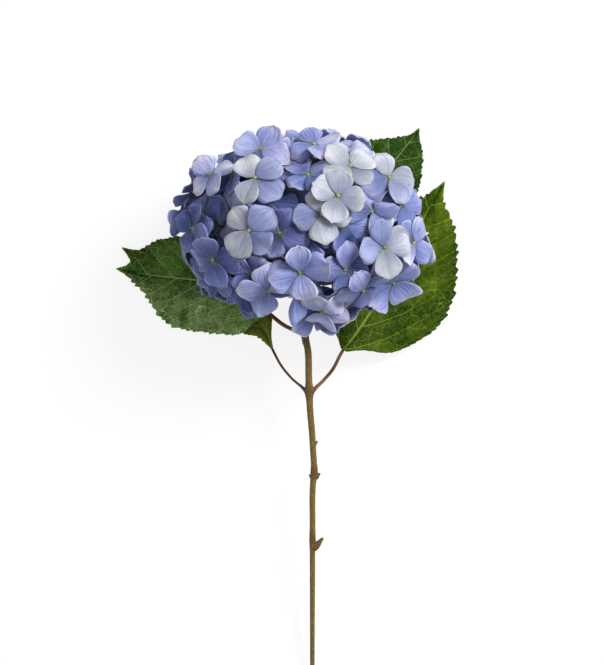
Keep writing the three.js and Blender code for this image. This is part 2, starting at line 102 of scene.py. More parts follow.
@dataclass(frozen=True)
class Bloom:
    """The round bloom: its sizes, and the rules by which its florets are placed and bent."""

    seed: int = 20
    inner_seed: int = 2
    bend_seed: int = 1
    pattern_seed: int = 99
    middle: Row = (-3.0, 72.0, 72.0)
    across: float = 88.0
    upward: float = 71.0
    front: float = 67.0
    back: float = 70.0
    rim: float = 0.97
    hub: Row = (-3.0, 58.0, 68.0)
    rest: tuple[float, float] = (-14.0, 2.0)
    rest_turn: float = 20.0
    rest_height: float = 0.4
    turn_spread: float = 7.0
    layer: float = 2.5
    layers: int = 8
    overlap: float = 36.0
    lean_ahead: float = 0.55
    lean_behind: float = -0.2
    spacing: float = 28.0
    stalk_spacing: float = 25.0
    stem_places: tuple[int, ...] = (86, 90, 94)
    spiral_count: int = 84
    spiral_limit: float = 0.0
    spiral_layer: int = 2
    spiral_size: float = 1.1
    inner_count: int = 170
    inner_ahead: float = 0.3
    inner_spacing: float = 12.5
    inner_spacing_behind: float = 18.5
    inner_layer: int = 3
    notch: tuple[float, float] = (-17.0, -66.0)
    notch_size: float = 23.0
    # The next two bound painted shade and light: inner florets further left than the first take the deep
    # tone as painted shade, and spiral and inner florets higher than the second take lighter tones as
    # painted light.
    painted_shade_x: float = -30.0
    painted_light_y: float = 44.0
    pale_bends: float = 0.7
    lean: float = 0.36
    smallest: float = 0.84
    largest: float = 1.02
    sizes: tuple[float, float] = (0.9, 1.06)
    rounding: float = 0.5
    settle: float = 1.2
    crown: float = 141.0
    settled: float = 0.35


@dataclass(frozen=True)
class Nudge:
    """How one fine petal differs from the rest.

    Args:
        turn: Degrees by which it turns on.
        lift: How much higher its tip stands.
        size: Its size against the usual one.
        width: Its width against its length, against the usual one.
        blush: Share of blue in a pale petal.
    """

    turn: float = 0.0
    lift: float = 0.0
    size: float = 1.0
    width: float = 1.0
    blush: float = 0.0


@dataclass(frozen=True)
class FloretRow:
    """A floret placed one by one, seen from the front.

    Args:
        x: Place to the right of the bloom's middle.
        y: Place above the bloom's middle.
        deep: Layer below the bloom's surface.
        turns: The first petal's turn in degrees, or the turns of all four petals.
        tone: How light its petals are.
        nudges: How its fine petals differ, if they do.
    """

    x: float
    y: float
    deep: int
    turns: tuple[float, ...]
    tone: Tone = Tone.BLUE
    nudges: tuple[Nudge, ...] = ()


def turned(*turns: float) -> tuple[Nudge, ...]:
    """Nudges that only turn their petals."""
    return tuple(Nudge(turn) for turn in turns)


# Deep tones on the bloom's left side are painted shade, and the lighter tones along its top are partly
# painted light.
FRONT_FLORETS = tuple(FloretRow(*row) for row in (
    (0, -31, 0, (10,), Tone.LIGHT),
    (-14, -4, 1, (62,)),
    (-22, 21, 3, (-10,)),
    (6, 38, 0, (35,)),
    (-4, 30, 3, (45,), Tone.LIGHT),
    (51, 12, 0, (-55, 20, 95, 175), Tone.LAVENDER),
    (33, 2, 2, (-10,)),
    (43, -5, 2, (-45,)),
    (79, -10, 0, (-37, 55, 140, 235), Tone.LIGHT),
    (32, -30, 0, (-12,)),
    (21, -21, 3, (30,), Tone.LIGHT),
    (4, -8, 3, (20,)),
    (67, -39, 1, (50,)),
    (44, -43, 0, (28,)),
    (30, -53, 0, (62,), Tone.LIGHT),
    (16, -60, 1, (-40,), Tone.LAVENDER, turned(14, -10, -22, 34)),
    (-22, -45, 0, (78,), Tone.LIGHT, turned(10, 12, -4, 32)),
    (-35, -33, 2, (45,)),
    (-60, -22, 0, (4,), Tone.DEEP),
    (-31, -19, 2, (20,), Tone.LIGHT),
    (-76, 0, 0, (65,), Tone.DEEP),
    (-71, 10, 2, (25,), Tone.DEEP),
    (-52, 15, 1, (80,), Tone.MIST),
    (-62, 37, 0, (30,), Tone.MIST),
    (-48, 42, 2, (10,), Tone.DEEP),
    (-27, 55, 0, (70,), Tone.LIGHT),
    (-8, 56, 2, (45,), Tone.LIGHT),
    (10, 58, 0, (20,), Tone.LAVENDER),
    (37, 56, 2, (35,), Tone.LAVENDER),
    (-3, -51, 2, (-5,), Tone.BLUE, (*turned(12, -6, -26), Nudge(17, 8, 1.18, 0.62))),
    (-64, -38, 2, (50,), Tone.DEEP),
    (-43, -50, 1, (15,), Tone.DEEP),
    (64, -20, 3, (75,)),
    (-50, -2, 3, (30,), Tone.DEEP),
    (74, 17, 2, (15,), Tone.LIGHT),
))

PALE_FLORETS = tuple(
    FloretRow(x, y, deep, turns, Tone.PALE, tuple(Nudge(blush=blush) for blush in blushes))
    for x, y, deep, turns, blushes in (
        (25, 20, -2, (-5, 81, 155, 255), ()),
        (34, 41, -1, (-49, 33, 132, 222), ()),
        (15, 9, 0, (8, 100, 190, 277), (0, 0, 0.9, 0)),
        (-35, -2, 0, (-45, 42, 130, 233), (0.9, 0.9, 0, 0)),
        (-30, 33, -1, (-40, 40, 122, 246), (0.9, 0.9, 0, 0)),
        (62, 35, 0, (0, 108, 200, 297), (0, 0, 0.9, 0.5)),
        (57, -13, -1, (17, 100, 190, 277), (0, 0.9, 0.9, 0)),
    )
)


@dataclass(frozen=True)
class PetalShape:
    """One petal: its outline from claw to tip, and the grid that it is made from."""

    length: float = 22.3
    start: float = 1.0
    half_width: float = 10.8
    claw: float = 1.1
    widest: float = 1.45
    roundness: float = 0.54
    rows: int = 9
    columns: int = 8
    thickness: float = 0.4
    overlap: float = 0.9
    notch: float = 0.9
    narrowing: float = 0.35
    frill: float = 0.35
    crease: float = 0.7
    claw_rise: float = 1.2

    def width_at(self, along: Array) -> Array:
        """The half widths at shares of the length, from 0 at the claw to 1 at the tip."""
        bow = np.sin(np.pi * np.clip(along, 0.0, 1.0) ** self.widest)
        return self.half_width * np.clip(bow, 0.0, 1.0) ** self.roundness + self.claw * (1.0 - along) ** 2


@dataclass
class Petal:
    """How one petal bends.

    Args:
        turn: Its direction round the floret, in degrees.
        lift: How high its tip stands over the floret's middle.
        twist: Slope across it.
        size: Its size against the usual one.
        width: Its width against the usual one.
        raised: Height over the petals on either side of it.
        cup: How far its sides stand above its middle.
        curl: How far its tip bends up.
        fold: Slope of both halves up from the middle line.
        roll: How far one side rolls up, or down when below 0.
        skew: How far its outline leans to one side.
        ripple: Height of the waves along its rim.
        phase: Shift of those waves.
        shade: How much lighter it is than its floret.
        blush: Share of blue in a pale petal.
    """

    turn: float
    lift: float
    twist: float
    size: float
    width: float = 1.0
    raised: float = 0.0
    cup: float = 0.0
    curl: float = 0.0
    fold: float = 0.0
    roll: float = 0.0
    skew: float = 0.0
    ripple: float = 0.0
    phase: float = 0.0
    shade: float = 0.0
    blush: float = 0.0


@dataclass
class Floret:
    """A floret on the bloom: its place, the way it faces and its four petals."""

    place: Array
    layer: int
    facing: Array
    centre: Array
    petals: list[Petal]
    tone: Tone
    nudges: tuple[Nudge, ...] = ()
    flat: bool = False
    lean: tuple[float, float] = (0.0, 0.0)

    @property
    def middle(self) -> Array:
        """The floret's centre, measured from the upper leaf node."""
        return self.centre + np.array(BLOOM.middle)


BLOOM = Bloom()
PETAL = PetalShape()
PLAIN_BENDS = ((-1.5, 3.0), (-0.15, 0.15), (0.92, 1.04))
BENDS = {
    "twist": (-0.34, 0.34), "lift": (-3.5, 7.5), "cup": (-4.5, 4.0), "curl": (-8.0, 2.5),
    "fold": (-0.3, 0.42), "roll": (-4.0, 5.0),
}
PATTERNS = {"skew": (-0.22, 0.22), "ripple": (0.5, 2.0), "phase": (0.0, 1.0), "shade": (-0.17, 0.15)}


@dataclass(frozen=True)
class LeafShape:
    """A leaf's plan, as on the solid model.

    Args:
        name: The leaf's name, and that of its node and slot.
        base: Where the blade starts.
        tip: Where it ends.
        bow: How far its midrib bows to the left.
        left: Half widths of the left side at shares of the length.
        right: Half widths of the right side at shares of the length.
        layer: Height over the bed that the leaves make.
        arch: Rise of each half between the midrib and the edge.
        petiole: The petiole's way from the stem.
        laterals: Distance between the side veins.
        tooth: Length of a tooth along the edge.
        wave: Height of the waves along its edge.
        phase: Shift of its pattern.
        stalk: The petiole's radius.
        sag: How much further the fine petiole bows down.
    """

    name: str
    base: tuple[float, float]
    tip: tuple[float, float]
    bow: float
    left: Widths
    right: Widths
    layer: float
    arch: float
    petiole: tuple[Row, ...]
    laterals: float
    tooth: float
    wave: float
    phase: float
    stalk: float = 1.2
    sag: float = 0.0

    @property
    def length(self) -> float:
        """Distance from the base to the tip."""
        return math.dist(self.base, self.tip)


LEAVES = (
    LeafShape(
        "front_left_leaf", (-24, 12.5), (-133.5, 45), -10,
        ((0.07, 11.6), (0.13, 24.5), (0.25, 32), (0.42, 35.5), (0.57, 34), (0.68, 25.5), (0.77, 14.5),
         (0.91, 3.3)),
        ((0.08, 9), (0.2, 16), (0.4, 21), (0.64, 25.3), (0.81, 24), (0.88, 15.5), (0.93, 5.5)),
        5, 8, ((1, -2, 53), (-6, 2, 46.5), (-14, 6, 35)), 18.0, 5.4, 1.3, 0.4, 1.45, 1.3,
    ),
    LeafShape(
        "rear_left_leaf", (-22, -13), (-129.5, 60), -15,
        ((0.05, 3.3), (0.1, 5.7), (0.19, 14.5), (0.35, 21), (0.6, 24), (0.8, 17), (0.93, 4)),
        ((0.05, 2.7), (0.1, 9.5), (0.25, 21), (0.5, 28), (0.75, 26.5), (0.86, 15.5), (0.9, 6)),
        0.5, 3, ((3.4, -45, 45), (-9, -32.5, 38), (-16, -24, 31)), 17.0, 4.0, 0.4, 1.7, 0.9,
    ),
    LeafShape(
        "right_leaf", (27, -14), (100, 107), -3,
        ((0.03, 5), (0.1, 20), (0.2, 30), (0.4, 34), (0.65, 28), (0.8, 16.5), (0.87, 7), (0.93, 3.5)),
        ((0.06, 11), (0.11, 26), (0.2, 36), (0.35, 45.3), (0.5, 45.3), (0.64, 38), (0.78, 26.5), (0.85, 17),
         (0.9, 7)),
        5, 8, ((4, -45, 45), (13.5, -34.5, 39), (20, -27, 33)), 20.0, 5.8, 1.4, 2.9,
    ),
    LeafShape(
        "upper_right_leaf", (10, 33), (82, 145), 10,
        ((0.08, 10), (0.2, 20), (0.4, 28), (0.6, 28), (0.76, 24.5), (0.81, 21), (0.87, 12), (0.94, 3.3)),
        ((0.08, 10), (0.2, 22), (0.4, 30), (0.63, 29), (0.74, 25.2), (0.84, 17), (0.89, 12.5), (0.96, 3.8)),
        0.5, 3, ((1.5, 1, 53), (6, 9, 43), (9, 20, 26)), 17.0, 3.9, 0.4, 4.1,
    ),
)
LEAF_THICKNESS = 0.9
LEAF_ROWS = 168
LEAF_COLUMNS = 44
LEAF_START = 0.012
TOOTH_OUT = 0.29
TOOTH_FORWARD = 0.24
TOOTH_PEAK = 0.74
BOW_SHAPE = 27 / 4
LATERAL_LEAN = 0.95
LATERAL_BEND = 0.013
LATERAL_SHIFT = 1.6

STEM_LINE = (
    (6, -277, 1.5), (6, -233, 9), (6, -171, 21), (6, -136, 28), (6.3, -108, 33.5), (7.2, -99, 35.2),
    (6.6, -86, 37.5), (5.6, -69, 40.6), (4.5, -57, 43), (3.8, -43, 45.6), (3.4, -30, 48.2),
    (2.8, -13, 51.4), (0.6, -2, 53.6), (1.2, 12, 56.6), (0, 30, 61), (-1.5, 48, 65.5),
)


# Shared tools


def seeded(seed: int) -> Draw:
    """Random draws that are the same every time and match those of the solid model.

    Args:
        seed: The first state.

    Returns:
        A function that draws a number between a low and a high one.
    """
    state = seed

    def draw(low: float, high: float) -> float:
        """The next number between the two."""
        nonlocal state
        state = (state * 1664525 + 1013904223) % 2**32
        return low + (high - low) * (state / 2**32)

    return draw


def smooth(value: Array, start: float, end: float) -> Array:
    """A soft step from 0 at start to 1 at end."""
    share = np.clip((value - start) / (end - start), 0.0, 1.0)
    return share * share * (3 - 2 * share)


def bed_height(x: Array, y: Array) -> Array:
    """Height of the bed that the leaves make round the stem."""
    return BED_HEIGHT * np.exp(-((np.hypot(x, y - BED_MIDDLE) / BED_SPREAD) ** 2))


def lift_clear(points: Array, floret: Floret) -> Array:
    """Lifts a floret's points clear of the table, and of the leaves that pass under the bloom.

    Args:
        points: The points, which are moved.
        floret: The floret. The one that the bloom rests on lies under the leaves' level.

    Returns:
        The same points.
    """
    x, y, z = points.T
    left = smooth(x, -22.0, -36.0) * smooth(y, 80.0, 68.0)
    leaves = np.maximum(left, smooth(x, -5.0, 9.0)) * (bed_height(x, y) + LEAF_CLEARANCE)
    points[:, 2] = np.maximum(z, PETAL_GAP + (0.0 if floret.flat else 1.0) * leaves)
    return points


def bloom_reach(z: Array, depth: float = 0.0) -> Array:
    """The bloom's half sizes at a depth, for heights over or under its middle."""
    ahead = np.where(np.asarray(z) > 0, BLOOM.front, BLOOM.back)
    sides = [np.full_like(ahead, size) for size in (BLOOM.across, BLOOM.upward)]
    return np.stack([*sides, ahead], axis=-1) - depth


def turn_to(facing: Array) -> Array:
    """The shortest turn that brings straight up to the given way.

    Args:
        facing: A unit vector.

    Returns:
        A 3 by 3 matrix.
    """
    if facing[2] < -0.9999:
        return np.diag([-1.0, 1.0, -1.0])
    return np.array(Vector((0, 0, 1)).rotation_difference(Vector(facing)).to_matrix())


def smooth_line(points: Sequence[Row], count: int) -> tuple[Array, Array]:
    """A smooth curve through points, walked at an even pace.

    Args:
        points: The points that it passes through.
        count: How many places on it are wanted.

    Returns:
        The places and the unit directions there.
    """
    knots = np.array(points, float)
    gaps = np.linalg.norm(np.diff(knots, axis=0), axis=1)
    slopes = np.diff(knots, axis=0) / gaps[:, None]
    inner = slopes[1:] * gaps[:-1, None] + slopes[:-1] * gaps[1:, None]
    tangents = np.vstack([slopes[:1], inner / (gaps[:-1, None] + gaps[1:, None]), slopes[-1:]])
    reach = np.concatenate([[0.0], np.cumsum(gaps)])
    walk = np.linspace(0.0, reach[-1], count)
    part = np.clip(np.searchsorted(reach, walk, side="right") - 1, 0, len(gaps) - 1)
    h = gaps[part][:, None]
    s = ((walk - reach[part]) / gaps[part])[:, None]
    places = ((2 * s**3 - 3 * s**2 + 1) * knots[part] + (s**3 - 2 * s**2 + s) * h * tangents[part]
              + (3 * s**2 - 2 * s**3) * knots[part + 1] + (s**3 - s**2) * h * tangents[part + 1])
    ways = np.gradient(places, axis=0)
    return places, ways / np.linalg.norm(ways, axis=1)[:, None]


def make_active(*pieces: Piece) -> None:
    """Selects nothing but the given objects, and makes the first of them the active one."""
    bpy.ops.object.select_all(action="DESELECT")
    for piece in pieces:
        piece.select_set(True)
    if pieces:
        bpy.context.view_layer.objects.active = pieces[0]


def add_shape(operator: Callable[..., set], **sizes: object) -> Piece:
    """Adds a primitive with nothing else selected."""
    make_active()
    operator(**sizes)
    return bpy.context.object


def add_grid(columns: int, rows: int) -> Piece:
    """Adds a flat grid from -1 to 1 both ways."""
    return add_shape(bpy.ops.mesh.primitive_grid_add, x_subdivisions=columns, y_subdivisions=rows, size=2.0)


def edit_all(piece: Piece, work: Callable[..., set], **settings: object) -> None:
    """Runs an edit mode operator on the whole of a mesh.

    Args:
        piece: The object.
        work: The operator.
        **settings: Its settings.
    """
    make_active(piece)
    bpy.ops.object.mode_set(mode="EDIT")
    bpy.ops.mesh.select_all(action="SELECT")
    work(**settings)
    bpy.ops.object.mode_set(mode="OBJECT")


def points_of(mesh: Mesh) -> Array:
    """A mesh's points as rows of x, y and z."""
    points = np.zeros(len(mesh.vertices) * 3)
    mesh.vertices.foreach_get("co", points)
    return points.reshape(-1, 3)


def set_points(mesh: Mesh, points: Array) -> None:
    """Moves a mesh's points to places in millimetres from the upper leaf node."""
    mesh.vertices.foreach_set("co", ((points + FORK) * MM).astype(np.float32).ravel())
    mesh.update()


def add_value(mesh: Mesh, name: str, values: Array | float) -> None:
    """Stores one number for each point of a mesh, which materials can read."""
    attribute = mesh.attributes.get(name) or mesh.attributes.new(name, "FLOAT", "POINT")
    attribute.data.foreach_set("value", np.full(len(mesh.vertices), values, np.float32))


def thicken(piece: Piece, thickness: float) -> None:
    """Gives a sheet its thickness in millimetres, half on each side."""
    solid = piece.modifiers.new("thickness", "SOLIDIFY")
    solid.thickness = thickness * MM
    solid.offset = 0.0
    make_active(piece)
    bpy.ops.object.modifier_apply(modifier=solid.name)


def dress(piece: Piece, name: str, finish: Material) -> None:
    """Names a piece and gives it its only material."""
    piece.name = piece.data.name = name
    piece.data.materials.clear()
    piece.data.materials.append(finish)


def join(pieces: list[Piece], name: str, finish: Material) -> Piece:
    """Joins objects into the first of them.

    Args:
        pieces: The objects.
        name: The joined piece's name.
        finish: Its material.

    Returns:
        The joined piece.
    """
    make_active(*pieces)
    bpy.ops.object.join()
    dress(pieces[0], name, finish)
    return pieces[0]


def copy_of(mould: Piece, points: Array) -> Piece:
    """A copy of a mould with its own mesh.

    Args:
        mould: The mould.
        points: The copy's points in millimetres.

    Returns:
        The copy.
    """
    piece = mould.copy()
    piece.data = mould.data.copy()
    bpy.context.scene.collection.objects.link(piece)
    set_points(piece.data, points)
    return piece


def declare(piece: Piece, nodes: Sequence[str], slot: str) -> None:
    """Seats a finished piece in the frame.

    Args:
        piece: The piece.
        nodes: The solid nodes that it stands for.
        slot: A material slot's name; it is not used.
    """
    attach(piece, BODY)
    if nodes:
        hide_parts(*nodes)
    piece.data.polygons.foreach_set("use_smooth", [True] * len(piece.data.polygons))
    triangles = sum(len(face.vertices) - 2 for face in piece.data.polygons)
    log.info("%s: %d triangles", piece.name, triangles)


# Finishes


class Value:
    """A node's result, which is reckoned with like a number by adding math nodes."""

    def __init__(self, nodes: "Nodes", socket: bpy.types.NodeSocket) -> None:
        """Takes the nodes that it belongs to and the result's socket."""
        self.nodes = nodes
        self.socket = socket

    def math(self, operation: str, *others: object) -> "Value":
        """A math node's result from this value and any others."""
        return self.nodes.math(operation, self, *others)

    def __rsub__(self, other: float) -> "Value":
        """A number less this."""
        return self.nodes.math("SUBTRACT", other, self)

    __add__ = partialmethod(math, "ADD")
    __sub__ = partialmethod(math, "SUBTRACT")
    __mul__ = partialmethod(math, "MULTIPLY")
    __truediv__ = partialmethod(math, "DIVIDE")
    __pow__ = partialmethod(math, "POWER")
    __abs__ = partialmethod(math, "ABSOLUTE")
    larger = partialmethod(math, "MAXIMUM")

    def off_line(self) -> "Value":
        """How far this lies from the nearest whole number."""
        return abs(self - self.math("ROUND"))

    def ramp(self, low: object, high: object, start: float = 0.0, end: float = 1.0) -> "Value":
        """This brought from one range to another with soft ends."""
        inputs = {0: self, 1: low, 2: high, 3: start, 4: end}
        return self.nodes.make("ShaderNodeMapRange", inputs, interpolation_type="SMOOTHSTEP")[0]

    def noise(self, scale: object, detail: float = 2.0, result: int = 0) -> "Value":
        """A soft noise from 0 to 1 at this place, or the colours of one as result 1."""
        inputs = {"Vector": self, "Scale": scale, "Detail": detail}
        return self.nodes.make("ShaderNodeTexNoise", inputs)[result]


class Nodes:
    """A short way to lay out a material's or a node group's nodes."""

    def __init__(self, tree: Group) -> None:
        """Takes the tree to fill."""
        self.tree = tree

    def add(self, kind: str, inputs: dict | None = None, **settings: object) -> bpy.types.Node:
        """Adds a node.

        Args:
            kind: The node's type.
            inputs: Numbers, colours or other nodes' values for its inputs, by name or number.
            **settings: Its properties.

        Returns:
            The node.
        """
        node = self.tree.nodes.new(kind)
        for key, value in settings.items():
            setattr(node, key, value)
        for key, value in (inputs or {}).items():
            socket = node.inputs[key]
            if isinstance(value, Value):
                self.tree.links.new(value.socket, socket)
            else:
                socket.default_value = (*value, 1.0) if socket.type == "RGBA" else value
        return node

    def make(self, kind: str, inputs: dict | None = None, **settings: object) -> list[Value]:
        """Adds a node and gives its results."""
        return [Value(self, socket) for socket in self.add(kind, inputs, **settings).outputs]

    def math(self, operation: str, *values: object) -> Value:
        """A math node's result."""
        return self.make("ShaderNodeMath", dict(enumerate(values)), operation=operation)[0]

    def vector(self, x: object, y: object, z: object) -> Value:
        """A place from its three parts."""
        return self.make("ShaderNodeCombineXYZ", {0: x, 1: y, 2: z})[0]

    def vector_math(self, operation: str, first: object, second: object) -> Value:
        """A vector math node's result."""
        return self.make("ShaderNodeVectorMath", {0: first, 1: second}, operation=operation)[0]

    def attribute(self, name: str) -> Value:
        """A number that the mesh stores for each point."""
        return Value(self, self.add("ShaderNodeAttribute", attribute_name=name).outputs["Fac"])

    def place(self) -> Value:
        """The place on the object."""
        return Value(self, self.add("ShaderNodeTexCoord").outputs["Object"])

    def mix(self, share: Value, first: object, second: object, blend: str = "MIX") -> Value:
        """Two colours mixed."""
        inputs = {0: share, 6: first, 7: second}
        return self.make("ShaderNodeMix", inputs, data_type="RGBA", blend_type=blend)[2]

    def colors(self, value: Value, stops: Sequence[tuple[float, Row]]) -> Value:
        """A colour that runs through stops.

        Args:
            value: The value that it follows.
            stops: Places from 0 to 1 and their colours.

        Returns:
            The colour.
        """
        node = self.add("ShaderNodeValToRGB", {0: value})
        ramp = node.color_ramp
        while len(ramp.elements) < len(stops):
            ramp.elements.new(0.5)
        for element, (place, color) in zip(ramp.elements, stops):
            element.position = place
            element.color = (*color, 1.0)
        return Value(self, node.outputs[0])

    def surface(self, color: Value, roughness: Value, height: Value, bump: tuple[float, float],
                **fixed: object) -> None:
        """Adds the shader with its bump, and the material's output.

        Args:
            color: Its colour.
            roughness: Its roughness.
            height: Height of the bump.
            bump: The bump's strength and its height in metres.
            **fixed: The shader's values that are the same all over, by name with _ for spaces.
        """
        inputs = {"Strength": bump[0], "Distance": bump[1], "Height": height}
        normal = self.make("ShaderNodeBump", inputs)[0]
        inputs = {"Base Color": color, "Roughness": roughness, "Normal": normal}
        inputs.update({name.replace("_", " "): value for name, value in fixed.items()})
        self.add("ShaderNodeOutputMaterial", {0: self.make("ShaderNodeBsdfPrincipled", inputs)[0]})


def new_group(name: str, inputs: dict[str, float | None], outputs: Sequence[str]) -> Nodes:
    """Makes an empty shader node group.

    Args:
        name: Its name.
        inputs: The first value of each input, or None for a place.
        outputs: The names of its masks.

    Returns:
        The group's nodes.
    """
    group = bpy.data.node_groups.new(name, "ShaderNodeTree")
    for key, value in inputs.items():
        kind = "NodeSocketVector" if value is None else "NodeSocketFloat"
        socket = group.interface.new_socket(key, in_out="INPUT", socket_type=kind)
        if value is not None:
            socket.default_value = value
    for key in outputs:
        group.interface.new_socket(key, in_out="OUTPUT", socket_type="NodeSocketFloat")
    return Nodes(group)


def petal_group() -> Group:
    """Builds the group for the veins and pleats that fan out over a petal.

    Returns:
        The group, with the petal's own coordinates, a seed and a number of veins as inputs, and masks
        for thin veins, soft pleats and the rim as outputs.
    """
    n = new_group("petal_veins", {"Vector": None, "Seed": 0.0, "Veins": 9.0}, ("Veins", "Pleats", "Rim"))
    uv, seed, count, *_ = n.make("NodeGroupInput")
    across, along, _ = n.make("ShaderNodeSeparateXYZ", {0: uv})
    depth = seed * 37.0
    wide = n.vector(across * 3.0, along, depth)
    run = across * count + (wide.noise(1.8, 3.0) - 0.5) * 2.2
    first = 1.0 - run.off_line().ramp(0.02, 0.15)
    between = 1.0 - (run * 2.0 + 0.5).off_line().ramp(0.03, 0.22)
    veins = first.larger(between * along.ramp(0.35, 0.75) * 0.55)
    patchy = wide.noise(3.6).ramp(0.34, 0.6, 0.3, 1.0)
    some = (seed * 7.31).math("FRACT").ramp(0.0, 1.0, 0.3, 1.0)
    pleats = n.vector(across * 8.0, along, depth).noise(1.0, 3.0).ramp(0.25, 0.75)
    rim = (abs(across * 2.0 - 1.0) ** 9.0).larger(along**12.0)
    n.add("NodeGroupOutput", {"Veins": veins * patchy * some, "Pleats": pleats, "Rim": rim})
    return n.tree


def bark_group() -> Group:
    """Builds the group for streaks and spots on the stem and the stalks.

    Returns:
        The group, with a stretch and a scale as inputs and masks as outputs.
    """
    n = new_group("bark_streaks", {"Vector": None, "Stretch": 1.0, "Scale": 90.0}, ("Streaks", "Spots"))
    place, stretch, scale, *_ = n.make("NodeGroupInput")
    stretched = n.vector_math("MULTIPLY", place, n.vector(stretch, 1.0, stretch))
    n.add("NodeGroupOutput", {
        "Streaks": stretched.noise(scale, 4.0).ramp(0.28, 0.7), "Spots": place.noise(520.0).ramp(0.58, 0.74),
    })
    return n.tree


def vein_group() -> Group:
    """Builds the group for a leaf's veins, from millimetres along and across the blade.

    Returns:
        The group, with masks for the main veins, the fine net and the swellings between veins as outputs.
    """
    inputs = {"Along": 0.0, "Across": 0.0, "Spacing": 12.0, "Phase": 0.0, "Length": 120.0}
    n = new_group("leaf_veins", inputs, ("Main", "Net", "Puff"))
    along, across, spacing, phase, length, *_ = n.make("NodeGroupInput")
    place = n.vector(along, across, phase)
    wobble = (place.noise(0.055) - 0.5) * 7.0
    off = abs(across)
    run = along - off * LATERAL_LEAN - off * off * LATERAL_BEND
    run = run + wobble * off.ramp(2.0, 20.0) + across.math("SIGN") * LATERAL_SHIFT
    from_line = (run / spacing).off_line()
    width = off.ramp(0.0, 36.0, 0.55, 0.28)
    lateral = 1.0 - (from_line * spacing / width).ramp(0.45, 1.35)
    lateral = lateral * place.noise(0.06).ramp(0.3, 0.6, 0.45, 1.0)
    taper = 1.25 - along / (length * 1.15)
    rib = 1.0 - (off / taper).ramp(0.45, 1.25)
    moved = n.vector_math("MULTIPLY", place.noise(0.1, result=1), (6.0, 6.0, 6.0))
    bent = n.vector_math("ADD", place, moved)
    nets = []
    for scale, width, weight in ((0.17, 0.036, 1.0), (0.4, 0.055, 0.7)):
        inputs = {"Vector": bent, "Scale": scale}
        cell = n.make("ShaderNodeTexVoronoi", inputs, feature="DISTANCE_TO_EDGE")[0]
        line = 1.0 - cell.ramp(0.2 * width, width)
        nets.append(line * place.noise(0.7 * scale).ramp(0.36, 0.6, 0.15, 1.0) * weight)
    n.add("NodeGroupOutput", {
        "Main": lateral.larger(rib), "Net": nets[0].larger(nets[1]),
        "Puff": from_line.ramp(0.0, 0.4),
    })
    return n.tree


@dataclass(frozen=True)
class Finish:
    """A material that takes its marks from a node group.

    Args:
        name: The material's name.
    """

    name: str

    def build(self, group: Group) -> Material:
        """Makes the material.

        Args:
            group: The group for its marks.

        Returns:
            The material.
        """
        material = bpy.data.materials.new(self.name)
        material.use_nodes = True
        material.node_tree.nodes.clear()
        self.paint(Nodes(material.node_tree), group)
        return material

    def paint(self, n: Nodes, group: Group) -> None:
        """Lays out the material's nodes."""
        raise NotImplementedError


@dataclass(frozen=True)
class PetalFinish(Finish):
    """Soft matt petals with fanned veins, pale rims and a greenish claw, partly darkened towards the claw as
    painted shade and lightened towards the tip and rim as painted highlight.

    Args:
        stops: Colours from shade to light.
        tint: Colour that some of the petals turn to.
        veins: How much the veins darken the colour.
        cloud: How much soft clouds change it.
        bump: Height of the veins and pleats in metres.
        blush: Colour that a bluish petal is multiplied by.
        claw: Colour at the petal's root.
    """

    stops: tuple[tuple[float, Row], ...]
    tint: Row
    veins: float
    cloud: float
    bump: float
    blush: Row = (0.62, 0.69, 1.08)
    claw: Row = (0.22, 0.3, 0.14)

    def paint(self, n: Nodes, group: Group) -> None:
        """Lays out the material's nodes.

        Args:
            n: The material's nodes.
            group: The group for a petal's veins.
        """
        uv = n.make("ShaderNodeUVMap", uv_map="UVMap")[0]
        marks = {"Vector": uv, "Seed": n.attribute("seed"), "Veins": 11.0}
        veins, pleats, rim = n.make("ShaderNodeGroup", marks, node_tree=group)
        along = n.make("ShaderNodeSeparateXYZ", {0: uv})[1]
        place = n.place()
        light = n.attribute("tone") + (place.noise(75.0, 3.0) - 0.5) * self.cloud
        # Painted light and shade, partly the petal's own colour: darker towards the claw as painted shade
        # among the petals, lighter towards the tip and on the pale rim as painted highlight, and lighter on
        # the pleats' ridges and darker in their furrows as painted shade.
        light = light + (along - 0.55) * 0.55 + rim * 0.22 + (pleats - 0.5) * 0.12 - veins * self.veins
        color = n.colors(light, self.stops)
        color = n.mix(place.noise(34.0, 1.0).ramp(0.42, 0.66) * 0.8, color, self.tint, "MULTIPLY")
        color = n.mix(n.attribute("blush"), color, self.blush, "MULTIPLY")
        color = n.mix((1.0 - along.ramp(0.0, 0.13)) * 0.45, color, self.claw)
        n.surface(
            color, pleats.ramp(0.0, 1.0, 0.66, 0.54), pleats - veins * 0.5, (0.8, self.bump),
            Sheen_Weight=0.25, Sheen_Roughness=0.4, Specular_IOR_Level=0.3, Subsurface_Weight=0.2,
            Subsurface_Radius=(0.8, 0.9, 1.0), Subsurface_Scale=0.0025,
        )


